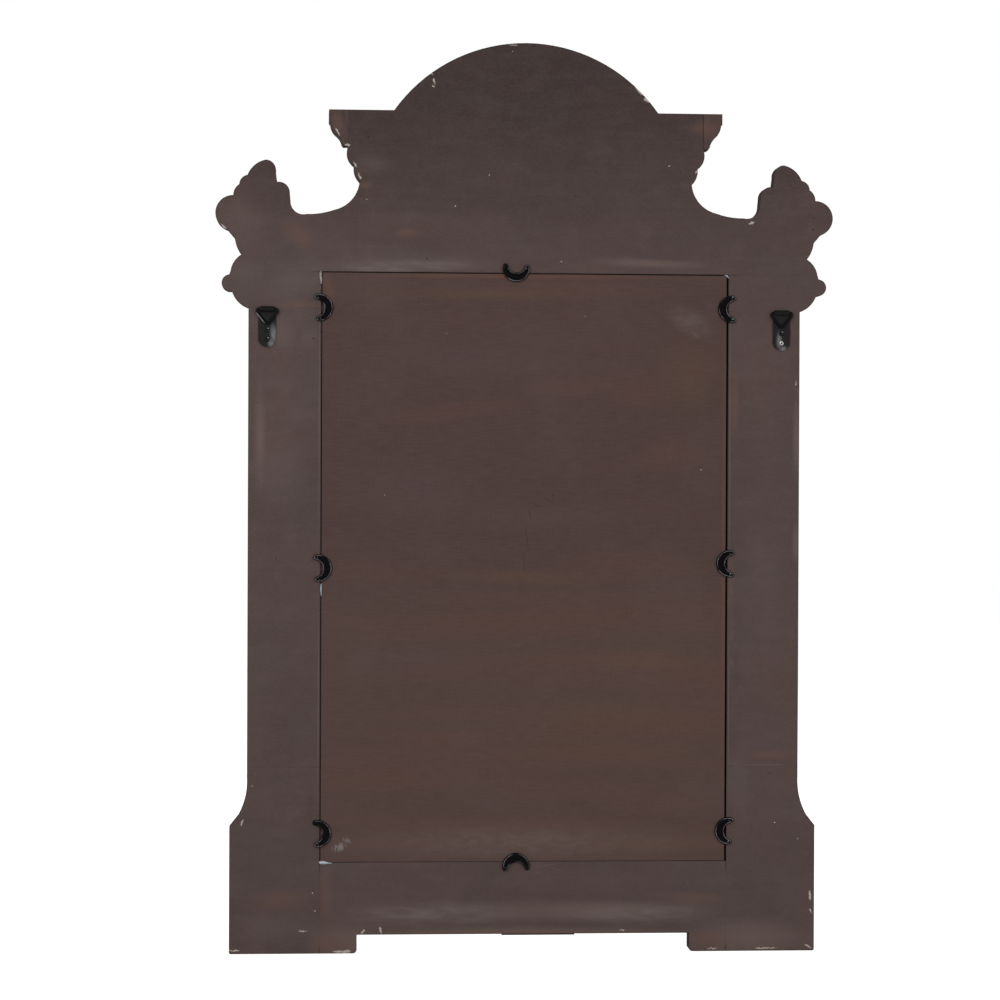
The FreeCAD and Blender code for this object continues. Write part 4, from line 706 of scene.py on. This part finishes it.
# Each black piece's own look: how pale its painted rim highlights, glints and sheen are and where
# they lie, where its painted shade lies, and peel is the size of the enamel's ripples in mm
clipLook = {
    "colour": "#0A080A", "rim": 0.95, "rimLength": 14.0, "glintColour": "#B4B4B8",
    "roughness": (0.12, 0.24), "sheen": 0.03, "peel": 1.2,
}
pinLook = {
    "colour": "#0A080A", "glint": (0.35, 0.8, 0.45), "glintColour": "#B4B4B6",
    "glintMarks": [(-250, 0, 40, 40, 0), (-254, -660, 40, 30, 0), (247, -655, 14, 14, 0),
                   (-252, -310, 30, 14, 0)],
    "roughness": (0.12, 0.24), "sheen": 0.05, "peel": 1.2,
}
strapLook = {
    "colour": "#1B1A1A", "rim": 0.5, "rimLength": 10.0, "glintColour": "#4A4848",
    # Painted sheen on the straps
    "sheenColour": "#757375",
    "sheenMarks": [(304, -30, 17, 6, 86), (307, -41, 9, 6, 90), (-309, -34, 15, 5, 90),
                 (-314, -44, 7, 6, 0)],
    # Painted shade under the rings
    "paintedShadeMarks": [(311.7, 2, 20, 11, 0), (-311.7, 4, 20, 7, 0)],
    "roughness": (0.34, 0.46), "sheen": 0.08, "peel": 1.2,
}
ringLook = {
    "colour": "#0A0A0B", "glint": (0.6, 0.55, -0.5), "glintColour": "#B0B0B4",
    "glintMarks": [(320, -10, 12, 10, -60), (-318, -9, 5, 5, 0)],
    "roughness": (0.16, 0.28), "sheen": 0.05, "peel": 1.0,
}
screwLook = {
    "colour": "#0C0C0C", "glint": (-0.3, 0.8, 0.5), "glintColour": "#A8A6A8",
    "roughness": (0.3, 0.4), "sheen": 0.1, "peel": 1.0,
}
uprightBoard = makeBoardMaterial("flatPaintUpright", True)
thinlyPainted = makeBoardMaterial("thinFlatPaint", False, 0.4)
levelBoard = makeBoardMaterial("flatPaintLevel", False)
uprightCarving = makeCarvedMaterial("walnutStainUpright", True)
levelCarving = makeCarvedMaterial("walnutStainLevel", False)
clipEnamel = makeEnamelMaterial("glossBlackEnamel", clipLook)
pinEnamel = makeEnamelMaterial("glossBlackPins", pinLook)
strapEnamel = makeEnamelMaterial("satinBlackSteel", strapLook)
ringEnamel = makeEnamelMaterial("blackWire", ringLook)
darkScrew = makeEnamelMaterial("blackenedScrew", screwLook)
brightScrew = makePlainMaterial("zincScrew")
print("materials made")

levelPieces = [
    "crest_board", "bottom_rail", "left_shoulder_block", "right_shoulder_block",
    "top_sight_moulding", "bottom_sight_moulding", "frieze_moulding", "crest_tablet",
    "apron_board", "cornice_moulding", "arch_moulding", "pediment_shell", "apron_drop"]
boardPieces = [
    "crest_board", "bottom_rail", "left_shoulder_block", "right_shoulder_block",
    "left_stile", "right_stile", "left_base_block", "right_base_block",
    "left_cornice_end", "right_cornice_end"]
for name, piece in nodes.items():
    level = name in levelPieces
    if name.endswith("_cornice_end"):
        finish = thinlyPainted
    elif name in boardPieces:
        finish = levelBoard if level else uprightBoard
    elif name.endswith("_clip") or name == "clip_pins":
        finish = clipEnamel
    elif name.endswith("_hanger_strap"):
        finish = strapEnamel
    elif name.endswith("_hanger_ring"):
        finish = ringEnamel
    else:
        finish = levelCarving if level else uprightCarving
    piece.data.materials.clear()
    piece.data.materials.append(finish)
nodes["backing_panel"].data.materials[0] = makePanelMaterial()
nodes["mirror_glass"].data.materials[0] = makeMirrorMaterial()
nodes["dowels"].data.materials[0] = makePlainMaterial("bareBeech")

# The boards' sawn edges are eased, which also draws the glued seams as fine grooves
easedEdges = {"width": 0.45, "board": 0.25, "segments": 2, "angle": 40.0, "join": 0.01}
carvedPieces = ["left_ear_carving", "right_ear_carving", "pediment_shell", "apron_drop"]
looseParts = ["mirror_glass", "dowels", "clip_pins", "hanger_screws"]
for name, piece in nodes.items():
    if name in carvedPieces or name in looseParts or name.endswith(("_ring", "_clip")):
        continue
    weld = piece.modifiers.new("joinCorners", "WELD")
    weld.merge_threshold = easedEdges["join"] * mm
    ease = piece.modifiers.new("easeEdges", "BEVEL")
    thin = name in boardPieces or name.endswith(("_strap", "_panel"))
    ease.width = easedEdges["board" if thin else "width"] * mm
    ease.segments = easedEdges["segments"]
    ease.limit_method = "ANGLE"
    ease.angle_limit = math.radians(easedEdges["angle"])
    flats = piece.modifiers.new("keepFlats", "WEIGHTED_NORMAL")
    flats.keep_sharp = True
print("boards dressed")


def turnedPieces(name, places, profile, steps, recess=None):
    # Lathe work about the Y axis: the profile is (radius, height off the back) in mm
    mesh = bpy.data.meshes.new(name)
    work = bmesh.new()
    for x, y, z in places:
        rings = []
        hollow = []
        for radius, height in profile:
            ring = []
            recessed = recess is not None and radius <= recess["reach"]
            if recessed:
                hollow.append(ring)
            for step in range(steps):
                angle = 2 * math.pi * step / steps
                reach = radius * mm
                if recessed:
                    # The cross: the ring's points near the two slots stay out, the rest pull in
                    quarter = abs(((angle + math.pi / 4) % (math.pi / 2)) - math.pi / 4)
                    slot = min(recess["slot"] * mm / max(math.sin(quarter), 1e-3), reach)
                    reach = max(slot, recess["slot"] * mm * math.sqrt(2))
                ring.append(work.verts.new((
                    x + reach * math.cos(angle), y + height * mm, z + reach * math.sin(angle))))
            rings.append(ring)
        for lower, upper in zip(rings, rings[1:]):
            for step in range(steps):
                following = (step + 1) % steps
                side = work.faces.new(
                    (lower[step], upper[step], upper[following], lower[following]))
                side.material_index = 1 if lower in hollow else 0
        work.faces.new(list(reversed(rings[-1]))).material_index = 1 if recess else 0
    bmesh.ops.recalc_face_normals(work, faces=work.faces)
    for face in work.faces:
        face.smooth = True
    work.to_mesh(mesh)
    work.free()
    piece = bpy.data.objects.new(name, mesh)
    bpy.context.scene.collection.objects.link(piece)
    return piece


def fixingPlaces(node):
    # Centres of a grouped node's solids, from its loose mesh islands
    mesh = bmesh.new()
    mesh.from_mesh(nodes[node].data)
    bmesh.ops.remove_doubles(mesh, verts=mesh.verts, dist=easedEdges["join"] * mm)
    centres = []
    seen = set()
    for start in mesh.verts:
        if start in seen:
            continue
        island = []
        waiting = [start]
        seen.add(start)
        while waiting:
            vertex = waiting.pop()
            island.append(vertex.co)
            for link in vertex.link_edges:
                other = link.other_vert(vertex)
                if other not in seen:
                    seen.add(other)
                    waiting.append(other)
        xs = [point.x for point in island]
        zs = [point.z for point in island]
        centres.append(((min(xs) + max(xs)) / 2, (min(zs) + max(zs)) / 2))
    mesh.free()
    return centres


# Domed pins in the clips' horns
clipPin = {
    "seat": 3.0,
    "profile": [(1.0, -6.0), (1.0, 0.0), (1.9, 0.0), (1.9, 0.15), (1.7, 0.45), (1.3, 0.65),
                (0.7, 0.78), (0.2, 0.8)],
    "steps": 20,
}
pins = turnedPieces(
    "domedPins", [(x, clipPin["seat"] * mm, z) for x, z in fixingPlaces("clip_pins")],
    clipPin["profile"], clipPin["steps"])
pins.data.materials.append(pinEnamel)
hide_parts("clip_pins")
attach(pins, "frame")

# Pan head screws with a cross recess, three blackened and one bright, as in the photograph
strapScrew = {
    "seat": 1.2,
    "profile": [(1.55, -8.0), (1.55, 0.0), (2.9, 0.0), (2.9, 0.3), (2.72, 0.75), (2.3, 1.15),
                (1.95, 1.38), (1.7, 1.42), (1.6, 0.9), (1.0, 0.35)],
    "steps": 48,
    "recess": {"reach": 1.7, "slot": 0.42},
}
screwPlaces = sorted(fixingPlaces("hanger_screws"))
for number, (x, z) in enumerate(screwPlaces):
    screw = turnedPieces(
        f"strapScrew{number + 1}", [(x, strapScrew["seat"] * mm, z)], strapScrew["profile"],
        strapScrew["steps"], strapScrew["recess"])
    # Sorted by x and then by height, the first is the lower screw on the photograph's right
    screw.data.materials.append(brightScrew if number == 0 else darkScrew)
    # The cross recess takes the black wire's enamel: painted shade in the recess, on the bright
    # screw as well
    screw.data.materials.append(ringEnamel)
    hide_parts("hanger_screws")
    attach(screw, "frame")
print("fixings made:", len(screwPlaces), "screws")

# Beads of glue squeezed out of the joints round the panel: points are x, z and radius in mm
glueBeads = {
    "cornerBead": [(247.4, -666.2, 0.8), (245, -666.4, 1.9), (241, -666.6, 1.9),
                   (237.5, -666.9, 1.2), (235, -667.1, 0.6), (232, -667.3, 0.3)],
    "jointBead": [(245.9, -330, 0.4), (246.1, -336, 0.8), (246, -342, 0.5), (245.9, -345, 0.3)],
    "topCornerBead": [(248.2, 46.6, 0.25), (246.9, 45.4, 0.3), (247.0, 40, 0.25),
                      (246.7, 36, 0.3), (246.8, 31, 0.2)],
    "rightCornerBead": [(-242, 45.2, 0.4), (-245.0, 44.6, 0.8), (-246.8, 42, 0.5)],
}
beadWork = {"lift": 0.05, "roundness": 3}  # lift is their middles' height off the back in mm
glue = makePlainMaterial("driedWoodGlue")
for name, points in glueBeads.items():
    curve = bpy.data.curves.new(name, "CURVE")
    curve.dimensions = "3D"
    curve.bevel_depth = mm
    curve.bevel_resolution = beadWork["roundness"]
    curve.use_fill_caps = True
    line = curve.splines.new("POLY")
    line.points.add(len(points) - 1)
    for point, (x, z, radius) in zip(line.points, points):
        point.co = (x * mm, backPlane + beadWork["lift"] * mm, z * mm, 1)
        point.radius = radius
    bead = bpy.data.objects.new(name, curve)
    bead.data.materials.append(glue)
    bpy.context.scene.collection.objects.link(bead)
    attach(bead, "frame")
print("glue beads made:", len(glueBeads))

# Camera of the photograph: it looks at the back from a little to one side
camera = {
    "place": (0.2617, 3.5, -0.2105),
    "heading": 176.207,
    "pitch": -0.397,
    "roll": 0.23,
    "lens": 104.44,
    "sensor": 36.0,
    "shiftUp": 0.0051,
    "shiftAcross": -0.0006,
    "farthest": 60.0,
}
cameraData = bpy.data.cameras.new("backView")
cameraData.lens = camera["lens"]
cameraData.sensor_width = camera["sensor"]
cameraData.shift_x = camera["shiftAcross"]
cameraData.shift_y = camera["shiftUp"]
cameraData.clip_end = camera["farthest"]
cameraObject = bpy.data.objects.new("backView", cameraData)
bpy.context.scene.collection.objects.link(cameraObject)
turn = Matrix.Rotation(math.radians(camera["heading"]), 4, "Z")
tilt = Matrix.Rotation(math.radians(90 + camera["pitch"]), 4, "X")
roll = Matrix.Rotation(math.radians(camera["roll"]), 4, "Z")
cameraObject.matrix_world = Matrix.Translation(Vector(camera["place"])) @ turn @ tilt @ roll
bpy.context.scene.camera = cameraObject

# Studio: pale floor, a white surround, and large soft lamps in front of and behind the object
studio = {
    "floorReach": 9.0,
    "floorSides": 96,
    "floorColour": "#C8C8C6",
    "floorGlow": 0.76,
    "white": "#FFFFFF",
    "whiteGlow": 1.0,
    "ambient": 0.46,
    "lamps": {
        "backKey": {"place": (1.6, 2.8, 0.9), "size": 2.2, "power": 46.0},
        "backFill": {"place": (-2.2, 2.6, 0.6), "size": 2.4, "power": 26.0},
        "frontKey": {"place": (-1.6, -2.8, 1.6), "size": 2.2, "power": 46.0},
        "frontFill": {"place": (2.2, -2.6, 0.6), "size": 2.4, "power": 26.0},
    },
}


def backdropRays(tree):
    # 1 for rays that see the surround itself: from the camera, in gloss and through glass
    kinds = ["Is Camera Ray", "Is Glossy Ray", "Is Transmission Ray"]
    direct, gloss, through = [
        addNode(tree, "ShaderNodeLightPath", output=kind) for kind in kinds]
    seen = addNode(tree, "ShaderNodeMath", {0: direct, 1: gloss}, operation="MAXIMUM")
    return addNode(tree, "ShaderNodeMath", {0: seen, 1: through}, operation="MAXIMUM")


floorLevel = cadBox[0][2]
bpy.ops.mesh.primitive_circle_add(
    vertices=studio["floorSides"], radius=studio["floorReach"], fill_type="NGON",
    location=(0, 0, floorLevel))
floor = bpy.context.object
floor.name = "studioFloor"
floorPaper, tree, _ = newMaterial("palePaper")
diffuse = addNode(tree, "ShaderNodeBsdfDiffuse", {"Color": sRgb(studio["floorColour"])})
shine = addNode(
    tree, "ShaderNodeMath", {0: backdropRays(tree), 1: studio["floorGlow"]},
    operation="MULTIPLY")
glow = addNode(
    tree, "ShaderNodeEmission", {"Color": sRgb(studio["white"]), "Strength": shine})
both = addNode(tree, "ShaderNodeAddShader", {0: diffuse, 1: glow})
addNode(tree, "ShaderNodeOutputMaterial", {"Surface": both})
floor.data.materials.append(floorPaper)

world = bpy.data.worlds.new("whiteSurround")
bpy.context.scene.world = world
world.use_nodes = True
tree = world.node_tree
tree.nodes.clear()
strength = addNode(
    tree, "ShaderNodeMapRange",
    {"Value": backdropRays(tree), "To Min": studio["ambient"],
     "To Max": studio["whiteGlow"]}, "Result")
surround = addNode(
    tree, "ShaderNodeBackground", {"Color": sRgb(studio["white"]), "Strength": strength})
addNode(tree, "ShaderNodeOutputWorld", {"Surface": surround})
for name, lamp in studio["lamps"].items():
    light = bpy.data.lights.new(name, "AREA")
    light.shape = "SQUARE"
    light.size = lamp["size"]
    light.energy = lamp["power"]
    lampObject = bpy.data.objects.new(name, light)
    lampObject.location = lamp["place"]
    toObject = -Vector(lamp["place"])
    lampObject.rotation_euler = toObject.to_track_quat("-Z", "Y").to_euler()
    bpy.context.scene.collection.objects.link(lampObject)
bpy.context.scene.view_settings.view_transform = "Standard"
print("camera and studio ready")
